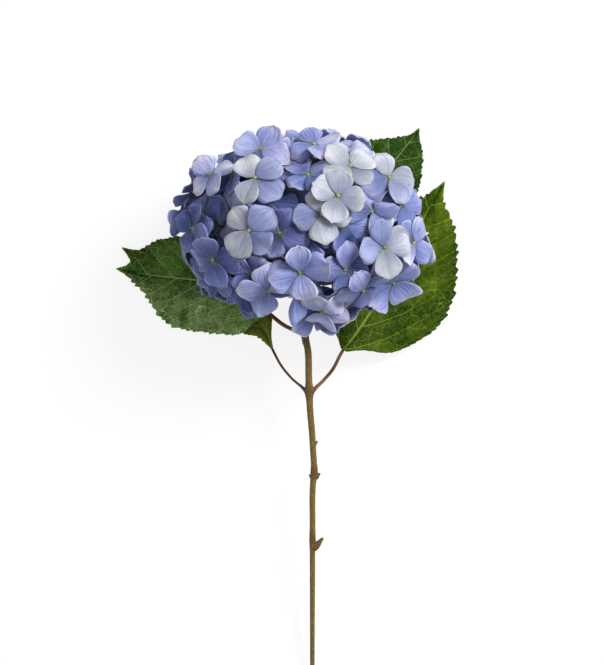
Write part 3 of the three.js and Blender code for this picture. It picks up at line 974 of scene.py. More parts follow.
@dataclass(frozen=True)
class LeafFinish(Finish):
    """Satin leaf with pale main veins, a fine net and darker lamina.

    Args:
        shape: The leaf.
        dark: Colour of the lamina in its darkest places.
        light: Colour of the lamina in its lightest places.
        vein: Colour of the veins.
        painted_light: Share of painted light and sheen over the left half of the blade, which also paints
            the veins and net paler there.
        painted_light_color: The painted light's colour.
    """

    shape: LeafShape
    dark: Row
    light: Row
    vein: Row
    painted_light: float = 0.0
    painted_light_color: Row = (0.34, 0.5, 0.18)

    def paint(self, n: Nodes, group: Group) -> None:
        """Lays out the material's nodes.

        Args:
            n: The material's nodes.
            group: The group for leaf veins.
        """
        along, across = n.attribute("along"), n.attribute("across")
        marks = {"Along": along, "Across": across, "Spacing": self.shape.laterals,
                 "Phase": self.shape.phase, "Length": self.shape.length}
        main, net, puff = n.make("ShaderNodeGroup", marks, node_tree=group)
        place = n.place()
        patch = place.noise(34.0, 4.0).ramp(0.36, 0.64)
        speck = place.noise(300.0, 3.0).ramp(0.35, 0.65)
        # Painted light: a greyish sheen over the left half of the blade, where the net and main veins are
        # painted paler too.
        painted_light_side = across.ramp(-2.0, 24.0)
        mottle = place.noise(90.0, 6.0).ramp(0.34, 0.66, 0.1, 1.0)
        traced = net * (painted_light_side * (1.1 * self.painted_light) + 0.4)
        strong = main * (painted_light_side * (0.8 * self.painted_light) + (0.72 - 0.3 * self.painted_light))
        color = n.mix((patch + speck * 0.4) * 0.72, self.dark, self.light)
        color = n.mix(painted_light_side * mottle * self.painted_light, color, self.painted_light_color)
        color = n.mix(strong, n.mix(traced, color, self.vein), self.vein)
        height = puff * 0.5 - main * 0.5 + patch * 0.8 - net * 0.25
        n.surface(color, speck.ramp(0.0, 1.0, 0.5, 0.62), height, (0.7, 0.001), Specular_IOR_Level=0.06)


@dataclass(frozen=True)
class BarkFinish(Finish):
    """Streaked young bark or a smooth stalk.

    Args:
        dark: Colour of its streaks.
        light: Its main colour.
        knot: Colour of its spots and knots.
        stretch: How much longer the pattern is along the stem than across it.
        bump: Height of the streaks in metres.
    """

    dark: Row
    light: Row
    knot: Row
    stretch: float = 1.0
    bump: float = 0.0002

    def paint(self, n: Nodes, group: Group) -> None:
        """Lays out the material's nodes.

        Args:
            n: The material's nodes.
            group: The group for streaks and spots.
        """
        marks = {"Vector": n.place(), "Stretch": self.stretch}
        streaks, spots = n.make("ShaderNodeGroup", marks, node_tree=group)
        color = n.mix(streaks, self.dark, self.light)
        for mask, share in ((spots, 0.3), (n.attribute("knot"), 0.75)):
            color = n.mix(mask * share, color, self.knot)
        roughness = streaks.ramp(0.0, 1.0, 0.62, 0.5)
        n.surface(color, roughness, streaks + spots * 0.6, (0.6, self.bump), Specular_IOR_Level=0.22)


# The bloom's plan, the same as the solid model's


class BloomPlan:
    """Places every floret as the solid model does, draw by draw."""

    def __init__(self) -> None:
        """Places the resting floret, the pale ones, the front ones, the spiral and the inner ones."""
        self.stalks = self._stalk_points()
        self.placed: list[Floret] = []
        draw = seeded(BLOOM.seed)
        self.resting = self._resting(draw)
        self.pale = [self._front(row, draw) for row in PALE_FLORETS]
        self.front = [self._front(row, draw) for row in FRONT_FLORETS]
        self.spiral = self._spiral(draw)
        self.inner = self._inner(seeded(BLOOM.inner_seed))
        self._loosen(seeded(BLOOM.bend_seed))

    @staticmethod
    def _stalk_points() -> Array:
        """Points on the stem and the petioles that a floret has to leave free."""
        stem = smooth_line(STEM_LINE, 101)[0][list(BLOOM.stem_places)]
        return np.vstack([stem, LEAVES[0].petiole, LEAVES[3].petiole]) - np.array(BLOOM.middle)

    @staticmethod
    def _even(turn: float, draw: Draw) -> list[float]:
        """Four turns about a quarter apart."""
        spread = BLOOM.turn_spread
        return [turn + quarter + draw(-spread, spread) for quarter in (0, 90, 180, 270)]

    def _layer(self, place: Array, wanted: int) -> int:
        """The nearest layer to the wanted one that no overlapping floret lies in."""
        near = [f.layer for f in self.placed if np.linalg.norm(f.place - place) < BLOOM.overlap]
        free = (wanted + step for step in range(BLOOM.layers) if wanted + step not in near)
        return next(free, wanted)

    def _floret(self, place: Array, wanted: int, turns: Sequence[float], tone: Tone, draw: Draw,
                scale: float = 1.0) -> Floret:
        """Places a floret and draws its petals.

        Args:
            place: Its place on the bloom's surface, from the bloom's middle.
            wanted: The layer that it would lie in.
            turns: Its petals' turns.
            tone: How light its petals are.
            draw: Random draws.
            scale: Its size against the usual one.

        Returns:
            The floret.
        """
        layer = self._layer(place, wanted)
        reach = bloom_reach(place[2])
        facing = place / reach / reach
        facing /= np.linalg.norm(facing)
        lean = BLOOM.lean_ahead if place[2] > 0 else BLOOM.lean_behind
        facing[2] += lean * np.hypot(facing[0], facing[1])
        facing /= np.linalg.norm(facing)
        petals = [Petal(turn, *(draw(*limits) for limits in PLAIN_BENDS)) for turn in turns]
        for petal in petals:
            petal.size *= scale
        floret = Floret(place, layer, facing, place - facing * layer * BLOOM.layer, petals, tone)
        self.placed.append(floret)
        return floret

    def _front(self, row: FloretRow, draw: Draw) -> Floret:
        """Places a listed floret.

        Args:
            row: Where it is and how it looks.
            draw: Random draws.

        Returns:
            The floret.
        """
        spread = min((row.x / BLOOM.across) ** 2 + (row.y / BLOOM.upward) ** 2, BLOOM.rim)
        place = np.array([row.x, row.y, BLOOM.front * math.sqrt(1 - spread)])
        turns = row.turns if len(row.turns) > 1 else self._even(row.turns[0], draw)
        floret = self._floret(place, row.deep, turns, row.tone, draw)
        floret.nudges = row.nudges
        return floret

    def _resting(self, draw: Draw) -> Floret:
        """The floret that is pressed flat on the table."""
        place = np.array([*BLOOM.rest, -BLOOM.back])
        floret = self._floret(place, 0, self._even(BLOOM.rest_turn, draw), Tone.BLUE, draw)
        floret.facing = np.array([0.0, 0.0, -1.0])
        floret.centre = np.array([*BLOOM.rest, BLOOM.rest_height - BLOOM.middle[2]])
        floret.flat = True
        return floret

    def _steps(self, count: int, draw: Draw) -> Iterator[tuple[int, float, Array, float, list[float]]]:
        """Walks a golden spiral round the bloom and leaves out the places on the stalks.

        Args:
            count: How many places it has.
            draw: Random draws.

        Yields:
            The step, its height from -1 to 1, the place, the distance to the nearest floret and four turns.
        """
        for step in range(count):
            height = 1 - 2 * (step + 0.5) / count
            ring = math.sqrt(1 - height * height)
            way = np.array([ring * math.cos(step * GOLDEN), ring * math.sin(step * GOLDEN), height])
            place = way * bloom_reach(height)
            turns = self._even(draw(0, 90), draw)
            gap = min(np.linalg.norm(floret.place - place) for floret in self.placed)
            if (np.linalg.norm(self.stalks - place, axis=1) >= BLOOM.stalk_spacing).all():
                yield step, height, place, gap, turns

    def _spiral(self, draw: Draw) -> list[Floret]:
        """The florets at the sides and the back."""
        found = []
        for step, height, place, gap, turns in self._steps(BLOOM.spiral_count, draw):
            if height < BLOOM.spiral_limit and gap >= BLOOM.spacing:
                tone = (Tone.BLUE, Tone.DEEP, Tone.LIGHT)[step % 3]
                # Spiral florets near the top take the lavender tone as painted light.
                tone = Tone.LAVENDER if place[1] > BLOOM.painted_light_y else tone
                found.append(self._floret(place, BLOOM.spiral_layer, turns, tone, draw, BLOOM.spiral_size))
        return found

    def _inner(self, draw: Draw) -> list[Floret]:
        """Deeper florets that fill the gaps between the others."""
        found = []
        for _, height, place, gap, turns in self._steps(BLOOM.inner_count, draw):
            spacing = BLOOM.inner_spacing if height > BLOOM.inner_ahead else BLOOM.inner_spacing_behind
            from_notch = np.linalg.norm(place[:2] - np.array(BLOOM.notch))
            if gap > spacing and from_notch >= BLOOM.notch_size:
                # Inner florets on the left take the deep tone as painted shade, and those near the top the
                # light tone as painted light.
                tone = Tone.DEEP if place[0] < BLOOM.painted_shade_x else Tone.BLUE
                tone = Tone.LIGHT if place[1] > BLOOM.painted_light_y else tone
                found.append(self._floret(place, BLOOM.inner_layer, turns, tone, draw))
        return found

    def _loosen(self, draw: Draw) -> None:
        """Gives each petal and floret the small bends that only the fine meshes have."""
        for floret in self.placed:
            if floret.flat:
                continue
            pale = floret.tone is Tone.PALE
            amount = BLOOM.pale_bends if pale else 1.0
            floret.lean = tuple(draw(-BLOOM.lean, BLOOM.lean) * amount for _ in range(2))
            small = 1.0 if pale or floret.nudges else draw(BLOOM.smallest, BLOOM.largest)
            for petal, nudge in zip(floret.petals, floret.nudges):
                petal.turn += nudge.turn
                petal.lift += nudge.lift
                petal.width = nudge.width
                petal.size *= nudge.size
                petal.blush = nudge.blush
            for number, petal in enumerate(floret.petals):
                petal.raised = PETAL.overlap * (number % 2)
                for name, limits in BENDS.items():
                    setattr(petal, name, getattr(petal, name) + draw(*limits) * amount)
                petal.fold = max(0.0, petal.fold)
                for name, limits in PATTERNS.items():
                    setattr(petal, name, draw(*limits))
                petal.size *= small * draw(*BLOOM.sizes)
            floret.centre = floret.centre - floret.facing * floret.layer * BLOOM.settle


# Meshes


class PetalMould:
    """One flat petal, laid out from a grid, that every petal is bent from."""

    def __init__(self) -> None:
        """Lays out the petal and keeps where each of its points is along and across it."""
        self.piece = add_grid(PETAL.columns, PETAL.rows)
        across, y, _ = points_of(self.piece.data).T
        along = 1.0 - (1.0 - (y + 1.0) / 2.0) ** 1.5
        flat = [across * PETAL.width_at(along), PETAL.start + along * PETAL.length, 0 * along]
        add_value(self.piece.data, "along_share", along)
        add_value(self.piece.data, "across_share", across)
        set_points(self.piece.data, np.stack(flat, axis=1))
        edit_all(self.piece, bpy.ops.mesh.remove_doubles, threshold=DOUBLES)
        self.along = self._values("along_share")
        self.across = self._values("across_share")

    def _values(self, name: str) -> Array:
        """Reads back one number for each point and takes it off the mesh."""
        attribute = self.piece.data.attributes[name]
        values = np.zeros(len(attribute.data))
        attribute.data.foreach_get("value", values)
        self.piece.data.attributes.remove(attribute)
        return values

    def bend(self, floret: Floret, petal: Petal) -> Array:
        """Bends the petal into its place on the bloom.

        Args:
            floret: The floret that it belongs to.
            petal: Its own bends.

        Returns:
            Its points in millimetres from the upper leaf node.
        """
        t = self.along
        v = self.across * (1 - t**14)
        out = PETAL.start + t * (PETAL.length * petal.size - PETAL.start)
        rim = np.sin(2 * np.pi * (1.1 * v + petal.phase)) * smooth(t, 0.5, 1.0) * np.abs(v)
        out += PETAL.notch * petal.size * rim
        side = v + petal.skew * (1 - v**2) * smooth(t, 0.1, 0.9)
        side *= PETAL.width_at(t) * petal.size * petal.width * (1 - PETAL.narrowing * petal.fold)
        height = np.zeros_like(t) if floret.flat else self._height(petal, t, v, side)
        turn = math.radians(petal.turn)
        x = out * math.cos(turn) - side * math.sin(turn)
        y = out * math.sin(turn) + side * math.cos(turn)
        return self._seat(floret, np.stack([x, y, height + x * floret.lean[0] + y * floret.lean[1]], axis=1))

    @staticmethod
    def _height(petal: Petal, t: Array, v: Array, side: Array) -> Array:
        """Height of a petal's points over the floret's plane.

        Args:
            petal: The petal.
            t: How far the points are along it, from 0 to 1.
            v: How far they are across it, from -1 to 1.
            side: The same in millimetres.

        Returns:
            The heights.
        """
        height = petal.raised * smooth(t, 0.0, 0.25) + petal.lift * t**1.6 + petal.twist * side
        height += petal.cup * v**2 * smooth(t, 0.1, 0.6)
        height += petal.fold * np.sqrt(side**2 + 4.0) * smooth(t, 0.05, 0.4)
        height += petal.roll * np.maximum(v, 0.0) ** 2.5 * smooth(t, 0.2, 0.8)
        height += petal.curl * smooth(t, 0.45, 1.15) ** 2
        wave = np.sin(2 * np.pi * (1.4 * v + petal.phase + 0.6 * t)) * np.abs(v) ** 1.6 * smooth(t, 0.2, 0.9)
        frill = np.sin(2 * np.pi * (3.4 * v + 2.3 * petal.phase)) * smooth(t, 0.75, 1.0)
        height += petal.ripple * (wave + PETAL.frill * frill)
        crease = np.exp(-((side / 1.6) ** 2)) * smooth(t, 0.0, 0.3) * (1 - smooth(t, 0.75, 1.0))
        return height - PETAL.crease * crease + PETAL.claw_rise * (1 - smooth(t, 0.0, 0.16))

    @staticmethod
    def _seat(floret: Floret, local: Array) -> Array:
        """Brings points on a floret's own plane to their place on the bloom.

        Args:
            floret: The floret.
            local: Points on its plane, with their height over it.

        Returns:
            The points, measured from the upper leaf node.
        """
        points = (local * np.array([1.0, 1.0, 0.0])) @ turn_to(floret.facing).T + floret.centre
        if not floret.flat:
            reach = bloom_reach(points[:, 2], floret.layer * BLOOM.layer)
            surface = points / np.linalg.norm(points / reach, axis=1)[:, None]
            points = points * (1 - BLOOM.rounding) + surface * BLOOM.rounding
            points = points + floret.facing * local[:, 2:3]
        return lift_clear(points + np.array(BLOOM.middle), floret)


class Arrangement:
    """Bends every petal into place, each tucked under those that lie further out."""

    CLEARANCE = 0.75
    FREE = 1.2
    SLOPE = 1.3
    REACH = 46.0
    THROUGH = 16.0
    SAME_WAY = 0.15

    def __init__(self, plan: BloomPlan, mould: PetalMould) -> None:
        """Bends the petals, from the outermost floret to the deepest.

        Args:
            plan: Where the florets are.
            mould: The petals' mould.
        """
        self.done: list[tuple[Array, Array, Array]] = []
        self.bends: dict[int, Array] = {}
        self.above: dict[int, int] = {}
        for floret in sorted(plan.placed, key=lambda one: (not one.flat, one.layer)):
            self.above[id(floret)] = len(self.done)
            for petal in sorted(floret.petals, key=lambda one: -one.raised):
                points = mould.bend(floret, petal)
                points[:, 2] -= (1 - BLOOM.settled) * np.maximum(points[:, 2] - BLOOM.crown, 0.0)
                points = self.tuck(points, floret, len(self.done))
                self.bends[id(petal)] = points
                self.done.append((points, points.mean(axis=0), floret.facing))

    def tuck(self, points: Array, floret: Floret, count: int) -> Array:
        """Moves points under the petals that lie further out.

        Args:
            points: The points.
            floret: The floret that they belong to.
            count: How many of the petals lie further out.

        Returns:
            The moved points.
        """
        middle = points.mean(axis=0)
        for outer, centre, facing in self.done[:count]:
            if np.linalg.norm(centre - middle) > self.REACH or facing @ floret.facing < self.SAME_WAY:
                continue
            rise, top = points @ facing, outer @ facing
            apart = ((points[:, None] - outer[None]) ** 2).sum(axis=2) - (rise[:, None] - top[None]) ** 2
            away = np.maximum(np.sqrt(np.maximum(apart, 0.0)) - self.FREE, 0.0)
            over = rise - (top[None] - self.CLEARANCE + self.SLOPE * away).min(axis=1)
            push = np.where(over < self.THROUGH, np.maximum(over, 0.0), 0.0)
            points = points - facing * push[:, None]
        return lift_clear(points, floret)


class FloretMeshes:
    """Makes the petals and eyes of groups of florets."""

    EYE_LOBES = 0.16
    EYE_WIDTH = 1.35
    EYE_HEIGHT = 1.1
    EYE_RISE = 0.8
    EYE_DIP = 0.5

    def __init__(self, eye_finish: Material) -> None:
        """Plans the bloom, bends its petals and shapes a small four-lobed button as the eyes' mould."""
        self.plan = BloomPlan()
        self.mould = PetalMould()
        self.arrangement = Arrangement(self.plan, self.mould)
        self.draw = seeded(BLOOM.pattern_seed)
        self.eye_finish = eye_finish
        self.eye = add_shape(bpy.ops.mesh.primitive_ico_sphere_add, subdivisions=2, radius=1.0)
        shape = points_of(self.eye.data)
        lobes = 1.0 + self.EYE_LOBES * np.cos(4 * np.arctan2(shape[:, 1], shape[:, 0]))
        shape[:, :2] *= lobes[:, None] * self.EYE_WIDTH
        dip = self.EYE_DIP * np.exp(-(shape[:, 0] ** 2 + shape[:, 1] ** 2) / 0.2)
        shape[:, 2] = shape[:, 2] * self.EYE_HEIGHT + self.EYE_RISE - dip
        self.eye_shape = shape

    def petals(self, florets: Sequence[Floret], name: str, finish: Material) -> Piece:
        """Makes the petals of some florets as one piece.

        Args:
            florets: The florets.
            name: The piece's name.
            finish: The petals' material.

        Returns:
            The piece.
        """
        copies = []
        for floret in florets:
            for petal in floret.petals:
                copy = copy_of(self.mould.piece, self.arrangement.bends[id(petal)])
                add_value(copy.data, "tone", floret.tone.value + petal.shade)
                add_value(copy.data, "seed", self.draw(0, 1))
                add_value(copy.data, "blush", petal.blush)
                copies.append(copy)
        piece = join(copies, name, finish)
        thicken(piece, PETAL.thickness)
        return piece

    def eyes(self, florets: Sequence[Floret], name: str) -> Piece:
        """Makes the buttons in the middle of some florets as one piece.

        Args:
            florets: The florets.
            name: The piece's name.

        Returns:
            The piece.
        """
        copies = []
        for floret in florets:
            points = self.eye_shape @ turn_to(floret.facing).T + floret.middle
            above = self.arrangement.above[id(floret)]
            copies.append(copy_of(self.eye, self.arrangement.tuck(points, floret, above)))
        return join(copies, name, self.eye_finish)

    def clear_away(self) -> None:
        """Removes the moulds."""
        for mould in (self.mould.piece, self.eye):
            bpy.data.objects.remove(mould)


class RodMould:
    """A round bar with rings along it, bent along curves."""

    def __init__(self, sides: int, rings: int) -> None:
        """Makes a straight bar and cuts it into rings.

        Args:
            sides: Number of sides.
            rings: Number of stretches along it.
        """
        self.piece = add_shape(bpy.ops.mesh.primitive_cylinder_add, vertices=sides, radius=1.0, depth=1.0)
        mesh = self.piece.data
        bpy.ops.object.mode_set(mode="EDIT")
        bpy.ops.mesh.select_mode(type="EDGE")
        bpy.ops.mesh.select_all(action="DESELECT")
        bpy.ops.object.mode_set(mode="OBJECT")
        for edge in mesh.edges:
            low, high = (mesh.vertices[i].co.z for i in edge.vertices)
            edge.select = abs(low - high) > 0.5
        bpy.ops.object.mode_set(mode="EDIT")
        bpy.ops.mesh.subdivide(number_cuts=rings - 1)
        bpy.ops.object.mode_set(mode="OBJECT")
        self.rings = rings
        self.shape = points_of(mesh)
        self.ring = np.clip(np.rint((self.shape[:, 2] + 0.5) * rings).astype(int), 0, rings)

    def bend(self, line: Sequence[Row], radius: Radius) -> Array:
        """Bends the bar along a line.

        Args:
            line: Points of the line.
            radius: Radius from the share of the length and the place.

        Returns:
            The bar's points.
        """
        places, ways = smooth_line(line, self.rings + 1)
        up = np.where(np.abs(ways[:, 2:3]) > 0.9, np.array([[1.0, 0, 0]]), np.array([[0, 0, 1.0]]))
        across = np.cross(ways, up)
        across /= np.linalg.norm(across, axis=1)[:, None]
        over = np.cross(across, ways)
        size = radius(np.linspace(0, 1, self.rings + 1), places)[self.ring][:, None]
        turned_out = across[self.ring] * self.shape[:, :1] + over[self.ring] * self.shape[:, 1:2]
        return places[self.ring] + size * turned_out

    def place(self, points: Array, knot: Array | float = 0.0) -> Piece:
        """A copy of the bar with its points at their places, and where it is knotty."""
        copy = copy_of(self.piece, points)
        add_value(copy.data, "knot", knot)
        return copy

    def clear_away(self) -> None:
        """Removes the bar."""
        bpy.data.objects.remove(self.piece)


@dataclass
class Stalks:
    """The branched tuft in the bloom's middle, with a thin stalk to every floret.

    Args:
        finish: The stalks' material.
        ways: Directions of the main branches.
        reach: How far the branches reach to each side.
        rise: How far a branch bows towards the bloom's top.
        branch: Radius of a branch and how much it loses.
        stalk: Radius of a stalk, how much it loses, and its swelling under the floret.
        neck: Length of a stalk's straight end.
        spread: Share by which a stalk bows outwards.
    """

    finish: Material
    ways: tuple[Row, ...] = (
        (0, 0.35, 1), (0.75, 0.45, 0.55), (-0.75, 0.45, 0.55), (0.8, 0.3, -0.45), (-0.8, 0.3, -0.45),
        (0, 1, 0.1), (0, 0.35, -0.9), (0.5, -0.35, 0.8), (-0.5, -0.35, 0.8),
    )
    reach: Row = (34.0, 27.0, 27.0)
    rise: Row = (0.0, 3.0, 0.0)
    branch: tuple[float, float] = (1.9, 0.7)
    stalk: Row = (0.75, 0.2, 0.5)
    neck: float = 9.0
    spread: float = 0.06

    def build(self, florets: Sequence[Floret], name: str) -> Piece:
        """Makes the tuft.

        Args:
            florets: All the florets.
            name: The piece's name.

        Returns:
            The piece.
        """
        hub = np.array(BLOOM.hub)
        rod = RodMould(7, 8)
        ways = np.array(self.ways, float)
        tips = hub + ways / np.linalg.norm(ways, axis=1)[:, None] * np.array(self.reach)
        lines = [[STEM_LINE[-2], hub, hub + (tip - hub) * 0.35 + np.array(self.rise), tip] for tip in tips]
        wide, loss = self.branch
        pieces = [rod.place(rod.bend(line, lambda s, _: wide - loss * s)) for line in lines]
        thin, less, end = self.stalk
        for floret in florets:
            back = floret.middle - floret.facing * 0.6
            tip = tips[np.argmin(np.linalg.norm(tips - back, axis=1))]
            knee = back - floret.facing * self.neck
            half = (tip + knee) / 2 + (knee - hub) * self.spread
            points = rod.bend([tip, half, knee, back], lambda s, _: thin - less * s + end * s**10)
            pieces.append(rod.place(points))
        rod.clear_away()
        return join(pieces, name, self.finish)


@dataclass
class Leaf:
    """One leaf: a serrated, veined blade and its petiole.

    Args:
        shape: Its plan.
        blade_finish: The blade's material.
        petiole_finish: The petiole's material.
        groove: Depth of the side veins.
        rib: Depth of the midrib, and how far the thick rib lies under it.
        swell: Height of the swellings between the side veins.
        pucker: Height of the small puckers.
        rib_places: Shares of the length that the thick rib passes through.
    """

    shape: LeafShape
    blade_finish: Material
    petiole_finish: Material
    groove: float = 0.5
    rib: float = 0.75
    swell: float = 0.8
    pucker: float = 0.35
    rib_places: tuple[float, ...] = (0.0, 0.12, 0.3, 0.55, 0.8)

    def __post_init__(self) -> None:
        """Works out the leaf's length and directions."""
        self.start = np.array([*self.shape.base, 0.0])
        self.length = self.shape.length
        self.forward = (np.array([*self.shape.tip, 0.0]) - self.start) / self.length
        self.sideways = np.array([-self.forward[1], self.forward[0], 0.0])

    def _half_width(self, widths: Widths, along: Array) -> Array:
        """The half width of one side, on a smooth curve through its given widths.

        Args:
            widths: Half widths at shares of the length.
            along: Shares of the length.

        Returns:
            The half widths there.
        """
        knots = np.array([(0.0, 0.0), *widths, (1.0, 0.0)])
        padded = np.vstack([knots[:1], knots, knots[-1:]])
        slopes = (padded[2:, 1] - padded[:-2, 1]) / (padded[2:, 0] - padded[:-2, 0])
        part = np.clip(np.searchsorted(knots[:, 0], along, side="right") - 1, 0, len(knots) - 2)
        step = np.diff(knots[:, 0])[part]
        s = (along - knots[part, 0]) / step
        rise = step * s * (1 - s) * ((1 - s) * slopes[part] - s * slopes[part + 1])
        return knots[part, 1] + np.diff(knots[:, 1])[part] * s * s * (3 - 2 * s) + rise

    def _teeth(self, widths: Widths, along: Array) -> Array:
        """How far the teeth of one side stand out, evenly spaced along its edge.

        Args:
            widths: Half widths at shares of the length.
            along: Shares of the length.

        Returns:
            The teeth's length there.
        """
        shares = np.linspace(0, 1, 400)
        steps = np.hypot(np.diff(shares) * self.length, np.diff(self._half_width(widths, shares)))
        run = np.interp(along, shares, np.append(0.0, np.cumsum(steps))) / self.shape.tooth
        run += 0.16 * np.sin(1.9 * run + self.shape.phase)
        walk = run % 1.0
        size = self.shape.tooth * (1 + 0.28 * np.sin(2.3 * np.floor(run) + self.shape.phase))
        return size * np.where(walk < TOOTH_PEAK, walk / TOOTH_PEAK, (1 - walk) / (1 - TOOTH_PEAK))

    def points(self, along: Array, across: Array) -> tuple[Array, Array]:
        """Places on the leaf's middle sheet.

        Args:
            along: From 0 at the base to 1 at the tip.
            across: From -1 at the right edge to 1 at the left.

        Returns:
            The places, and the distances from the midrib.
        """
        shape = self.shape
        half, tooth = (
            np.where(across > 0, measure(shape.left, along), measure(shape.right, along))
            for measure in (self._half_width, self._teeth)
        )
        side, off = np.sign(across), np.abs(across)
        tooth *= smooth(off, 0.86, 1.0) * smooth(along, 0.03, 0.09) * (1 - smooth(along, 0.88, 0.97))
        offset = across * half + side * tooth * TOOTH_OUT
        points = self.start + np.outer(along, self.forward) * self.length
        points += np.outer(shape.bow * BOW_SHAPE * along * (1 - along) ** 2 + offset, self.sideways)
        points += np.outer(tooth * TOOTH_FORWARD, self.forward)
        arch = shape.arch * (off - 0.8 * off**2)
        wave = shape.wave * np.sin(along * 17 + shape.phase + side) * off**2 * smooth(along, 0.05, 0.2)
        height = bed_height(points[:, 0], points[:, 1]) + shape.layer + arch + np.maximum(wave, -0.35)
        height += self._relief(along * self.length, offset)
        points[:, 2] = LEAF_THICKNESS / 2 + np.maximum(height, TABLE_GAP)
        return points, offset

    def _relief(self, along: Array, offset: Array) -> Array:
        """Sunken main veins and the blade's swellings between them.

        Args:
            along: Millimetres along the blade.
            offset: Millimetres to the left of the midrib.

        Returns:
            The heights.
        """
        off = np.abs(offset)
        run = along - LATERAL_LEAN * off - LATERAL_BEND * off**2 + LATERAL_SHIFT * np.sign(offset)
        run /= self.shape.laterals
        nearest = np.abs(run - np.rint(run)) * self.shape.laterals
        groove = np.exp(-((nearest / 1.3) ** 2)) * smooth(off, 0.0, 4.0)
        rib = np.exp(-((off / 1.5) ** 2))
        swell = (1 - np.cos(2 * np.pi * run)) / 2 * smooth(off, 0.0, 9.0)
        pucker = np.sin(along / 2.1 + 3 * np.sin(offset / 5.0)) * np.sin(offset / 1.9 + along / 9.0)
        pucker *= smooth(off, 1.0, 6.0) * (1 - smooth(off, 24.0, 34.0))
        return self.swell * swell + self.pucker * pucker - self.groove * groove - self.rib * rib

    def blade(self) -> Piece:
        """Makes the blade from a grid.

        Returns:
            The blade.
        """
        piece = add_grid(LEAF_COLUMNS, LEAF_ROWS)
        x, y, _ = points_of(piece.data).T
        along = LEAF_START + (1 - LEAF_START) * (y + 1) / 2
        points, offset = self.points(along, np.sign(x) * ((1 - np.abs(x)) ** 1.25 - 1))
        set_points(piece.data, points)
        add_value(piece.data, "along", along * self.length)
        add_value(piece.data, "across", offset)
        edit_all(piece, bpy.ops.mesh.remove_doubles, threshold=DOUBLES)
        dress(piece, f"{self.shape.name}_blade", self.blade_finish)
        thicken(piece, LEAF_THICKNESS)
        return piece

    def petiole(self) -> Piece:
        """Makes the petiole and the thick rib that it runs out into under the blade.

        Returns:
            The petiole.
        """
        run, _ = self.points(np.array(self.rib_places), np.zeros(len(self.rib_places)))
        run[:, 2] -= self.rib
        first, second, *rest = np.array(self.shape.petiole, float) - np.array([0.0, self.shape.sag, 0.0])
        out = (second - first) / np.linalg.norm(second - first)
        foot = first + np.array([-0.6 * out[0], -5.0, -1.3])
        stalk = float(np.linalg.norm(foot - run[0]))
        neck = stalk / (stalk + self.rib_places[-1] * self.length)

        def radius(share: Array, _: Array) -> Array:
            """Radius of the petiole, and of the rib from the neck on."""
            rib = 0.92 * (1 - 0.8 * (share - neck) / (1 - neck))
            return np.where(share < neck, 1.0, rib) * self.shape.stalk + 1 - smooth(share, 0.0, 0.11)

        rod = RodMould(12, 60)
        points = rod.bend([foot, first + out * 1.6, second, *rest, *run], radius)
        points[:, 2] = np.maximum(points[:, 2], TABLE_GAP)
        piece = rod.place(points)
        rod.clear_away()
        dress(piece, f"{self.shape.name}_petiole", self.petiole_finish)
        return piece


@dataclass
class Stem:
    """The woody stem with its nodes, buds and side stub.

    Args:
        finish: The bark's material.
        nodes: Place along the stem, swelling and half length of each node.
        buds: Start, end, radius at both, and swelling of each bud and of the stub.
        radii: Places along the stem and its radius there.
        ridges: Heights of the long and the short ridges, as shares of the radius.
        foot: A place on the slanted cut.
        slant: The cut's slant in degrees.
    """

    finish: Material
    nodes: tuple[Row, ...] = ((-42.0, 0.75, 5.0), (-99.0, 0.55, 4.0), (-147.0, 0.35, 5.0), (0.0, 0.5, 5.0))
    buds: tuple[tuple[Row, Row, float, float, float], ...] = (
        ((6.5, -80, 38.3), (9.6, -77.2, 39.7), 1.3, 0.5, 0.5),
        ((7.4, -102.6, 34.4), (11.5, -100, 35.7), 1.9, 0.5, 0.9),
        ((6.6, -103, 34.3), (3.6, -101, 35.6), 1.6, 0.5, 0.6),
        ((6.2, -154.6, 24.1), (13.4, -146, 26.8), 1.7, 0.95, 1.1),
    )
    radii: Widths = ((-277.0, 1.45), (-136.0, 2.05), (-30.0, 2.4))
    ridges: tuple[float, float] = (0.035, 0.02)
    foot: Row = (6.0, -275.0, 1.5)
    slant: float = 32.0

    def _radius(self, _: Array, places: Array) -> Array:
        """The stem's radius along it."""
        y = places[:, 1]
        swell = sum(size * np.exp(-(((y - at) / width) ** 2)) for at, size, width in self.nodes)
        return np.interp(y, *zip(*self.radii)) + swell

    def build(self) -> Piece:
        """Makes the stem.

        Returns:
            The stem.
        """
        rod = RodMould(20, 220)
        points = rod.bend(STEM_LINE, self._radius)
        y = points[:, 1]
        knot = sum(np.exp(-(((y - at) / width) ** 2)) for at, _, width in self.nodes)
        knot += 0.6 * smooth(y, -22.0, -6.0)
        angle = np.arctan2(rod.shape[:, 1], rod.shape[:, 0])
        long, short = self.ridges
        ridge = 1 + long * np.sin(5 * angle + y / 30) + short * np.sin(y * 1.1 + 2 * angle)
        core = smooth_line(STEM_LINE, rod.rings + 1)[0][rod.ring]
        piece = rod.place(core + (points - core) * ridge[:, None], np.clip(knot, 0, 1))
        rod.clear_away()
        slant = math.radians(self.slant)
        edit_all(
            piece, bpy.ops.mesh.bisect, plane_co=tuple((np.array(self.foot) + FORK) * MM),
            plane_no=(0.0, -math.cos(slant), -math.sin(slant)), use_fill=True, clear_outer=True,
        )
        twig = RodMould(12, 10)
        parts = [piece]
        for start, end, root, tip, swell in self.buds:
            points = twig.bend(
                [start, end],
                lambda s, _: root + (tip - root) * s**1.3 + swell * BOW_SHAPE * s * (1 - s) ** 2)
            parts.append(twig.place(points, 0.7))
        twig.clear_away()
        return join(parts, "stem_bark", self.finish)


# The studio


def set_inputs(node: bpy.types.Node, values: dict[str, object]) -> None:
    """Sets a node's own values."""
    for key, value in values.items():
        node.inputs[key].default_value = value


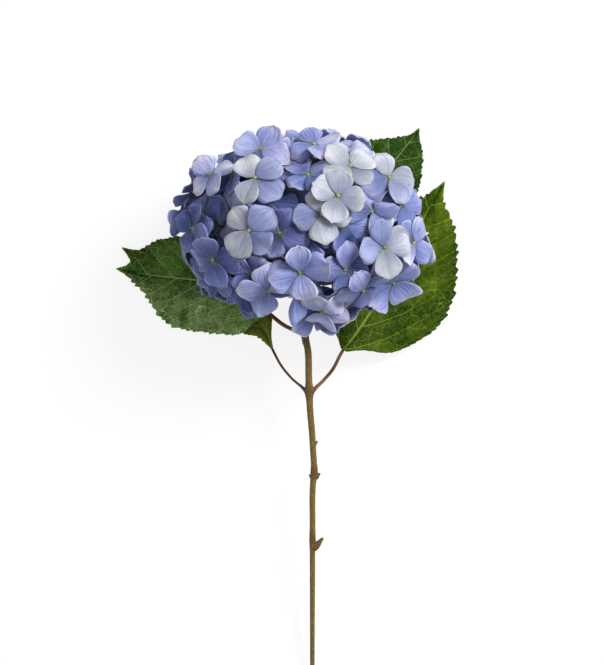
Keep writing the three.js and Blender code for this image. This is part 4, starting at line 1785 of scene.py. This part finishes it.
@dataclass(frozen=True)
class Studio:
    """Pale floor, soft light and the camera over the flower.

    Args:
        image_height: The photo's height in pixels.
        scale: Millimetres to a pixel.
        aim: The picture's middle, in millimetres from the upper leaf node.
        aim_height: Height in millimetres at which the scale holds.
        distance: From there to the camera, in metres.
        sensor: The camera's sensor in millimetres.
        lit: The place that the lights shine at, in metres.
    """

    image_height: int = 665
    scale: float = 0.7
    aim: tuple[float, float] = (-1.4, -0.4)
    aim_height: float = 75.0
    distance: float = 4.0
    sensor: float = 36.0
    lit: Row = (0.01, 0.137, 0.07)

    def build(self) -> None:
        """Makes the floor, the lights, the world and the camera."""
        self._floor()
        self._light("key", (0.85, 0.8, 1.15), 0.6, 24.0)
        self._light("fill", (-0.9, -0.5, 1.5), 1.4, 3.0)
        self._world()
        self._camera()

    @staticmethod
    def _floor() -> None:
        """A wide plain floor just under the flower."""
        floor = add_shape(bpy.ops.mesh.primitive_plane_add, size=14.0, location=(0, 0, -0.0002))
        material = bpy.data.materials.new("plain_floor")
        material.use_nodes = True
        set_inputs(material.node_tree.nodes["Principled BSDF"], {
            "Base Color": (0.19, 0.19, 0.19, 1), "Emission Color": (1.0, 1.0, 1.0, 1),
            "Emission Strength": 0.84, "Roughness": 0.9, "Specular IOR Level": 0.0,
        })
        dress(floor, "floor", material)
        floor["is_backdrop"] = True

    def _light(self, name: str, place: Row, size: float, power: float) -> None:
        """A square soft light that shines at the bloom."""
        data = bpy.data.lights.new(name, "AREA")
        data.size = size
        data.energy = power
        lamp = bpy.data.objects.new(name, data)
        bpy.context.scene.collection.objects.link(lamp)
        lamp.location = place
        lamp.rotation_euler = (Vector(self.lit) - Vector(place)).to_track_quat("-Z", "Y").to_euler()

    @staticmethod
    def _world() -> None:
        """Even pale light from all round."""
        world = bpy.data.worlds.new("studio")
        world.use_nodes = True
        set_inputs(world.node_tree.nodes["Background"], {"Color": (0.97, 0.98, 1.0, 1), "Strength": 0.42})
        bpy.context.scene.world = world
        bpy.context.scene.view_settings.view_transform = "Standard"

    def _camera(self) -> None:
        """A long lens straight above the flower."""
        data = bpy.data.cameras.new("camera")
        camera = bpy.data.objects.new("camera", data)
        bpy.context.scene.collection.objects.link(camera)
        data.sensor_width = self.sensor
        data.lens = self.sensor * self.distance / (self.image_height * self.scale * MM)
        data.clip_end = 100.0
        camera.location = (*(self.aim + FORK[:2]) * MM, self.distance + self.aim_height * MM)
        bpy.context.scene.camera = camera


BLUE_PETAL = PetalFinish("blue_petal", (
    (0.0, (0.045, 0.07, 0.22)),
    (0.25, (0.115, 0.15, 0.385)),
    (0.5, (0.24, 0.285, 0.58)),
    (0.7, (0.42, 0.46, 0.74)),
    (0.86, (0.62, 0.65, 0.84)),
    (1.0, (0.76, 0.78, 0.88)),
), (1.09, 0.98, 0.96), 0.36, 0.52, 0.0008)
PALE_PETAL = PetalFinish("pale_petal", (
    (0.0, (0.11, 0.13, 0.25)),
    (0.45, (0.21, 0.23, 0.34)),
    (0.75, (0.35, 0.375, 0.46)),
    (1.0, (0.56, 0.58, 0.66)),
), (0.99, 0.97, 0.88), 0.17, 0.6, 0.0005)
EYE = BarkFinish("floret_eye", (0.16, 0.21, 0.1), (0.38, 0.43, 0.24), (0.12, 0.15, 0.07))
STALK = BarkFinish("floret_stalk", (0.26, 0.36, 0.1), (0.42, 0.52, 0.2), (0.3, 0.3, 0.1), 2.0)
PETIOLE = BarkFinish("petiole", (0.1, 0.035, 0.018), (0.21, 0.09, 0.035), (0.07, 0.03, 0.018), bump=0.0003)
BARK = BarkFinish("stem_bark", (0.09, 0.052, 0.014), (0.3, 0.207, 0.056), (0.14, 0.07, 0.026), 45.0, 0.0004)
# The front-left leaf's last number is the share of its painted light and sheen.
LEAF_LOOKS = (
    ((0.004, 0.03, 0.001), (0.085, 0.198, 0.022), (0.56, 0.72, 0.28), 0.62),
    ((0.06, 0.085, 0.01), (0.17, 0.2, 0.026), (0.27, 0.31, 0.07)),
    ((0.009, 0.032, 0.0005), (0.088, 0.146, 0.004), (0.3, 0.42, 0.06)),
    ((0.005, 0.026, 0.001), (0.032, 0.08, 0.006), (0.25, 0.39, 0.12)),
)


def make_bloom(bark: Group) -> None:
    """Makes the florets, their eyes and the stalks.

    Args:
        bark: The group for streaks and spots.
    """
    group = petal_group()
    blue, pale = BLUE_PETAL.build(group), PALE_PETAL.build(group)
    maker = FloretMeshes(EYE.build(bark))
    plan = maker.plan
    front = [*plan.front, *(floret for floret in plan.inner if floret.place[2] > 0)]
    sides = [plan.resting, *plan.spiral, *(floret for floret in plan.inner if floret.place[2] <= 0)]
    for name, florets in (("front_petals", front), ("side_and_back_petals", sides)):
        declare(maker.petals(florets, name, blue), ["flower_head"], "blue_petals")
    for number, floret in enumerate(plan.pale, 1):
        piece = maker.petals([floret], f"pale_petals_{number}", pale)
        declare(piece, [f"pale_floret_{number}"], "pale_petals")
    everyone = [*front, *sides, *plan.pale]
    declare(maker.eyes(everyone, "floret_eyes"), [], "blue_petals")
    declare(Stalks(STALK.build(bark)).build(everyone, "floret_stalks"), ["flower_head"], "blue_petals")
    maker.clear_away()
    log.info("%d florets", len(everyone))


def make_leaves(bark: Group) -> None:
    """Makes the four leaves with their petioles.

    Args:
        bark: The group for streaks and spots.
    """
    veins = vein_group()
    petiole = PETIOLE.build(bark)
    for shape, look in zip(LEAVES, LEAF_LOOKS):
        leaf = Leaf(shape, LeafFinish(shape.name, shape, *look).build(veins), petiole)
        declare(leaf.blade(), [shape.name], shape.name)
        declare(leaf.petiole(), [shape.name], shape.name)


def write_sizes() -> None:
    """Gathers the solid model's box and the finished model's box."""
    boxes = [[list(corner) for corner in box] for box in (CAD_BOX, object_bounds())]


def main() -> None:
    """Makes the whole flower and its studio."""
    logging.basicConfig(level=logging.INFO, format="%(name)s: %(message)s")
    Studio().build()
    bark = bark_group()
    make_bloom(bark)
    make_leaves(bark)
    declare(Stem(BARK.build(bark)).build(), ["stem"], "stem")
    write_sizes()


if __name__ == "__main__":
    main()
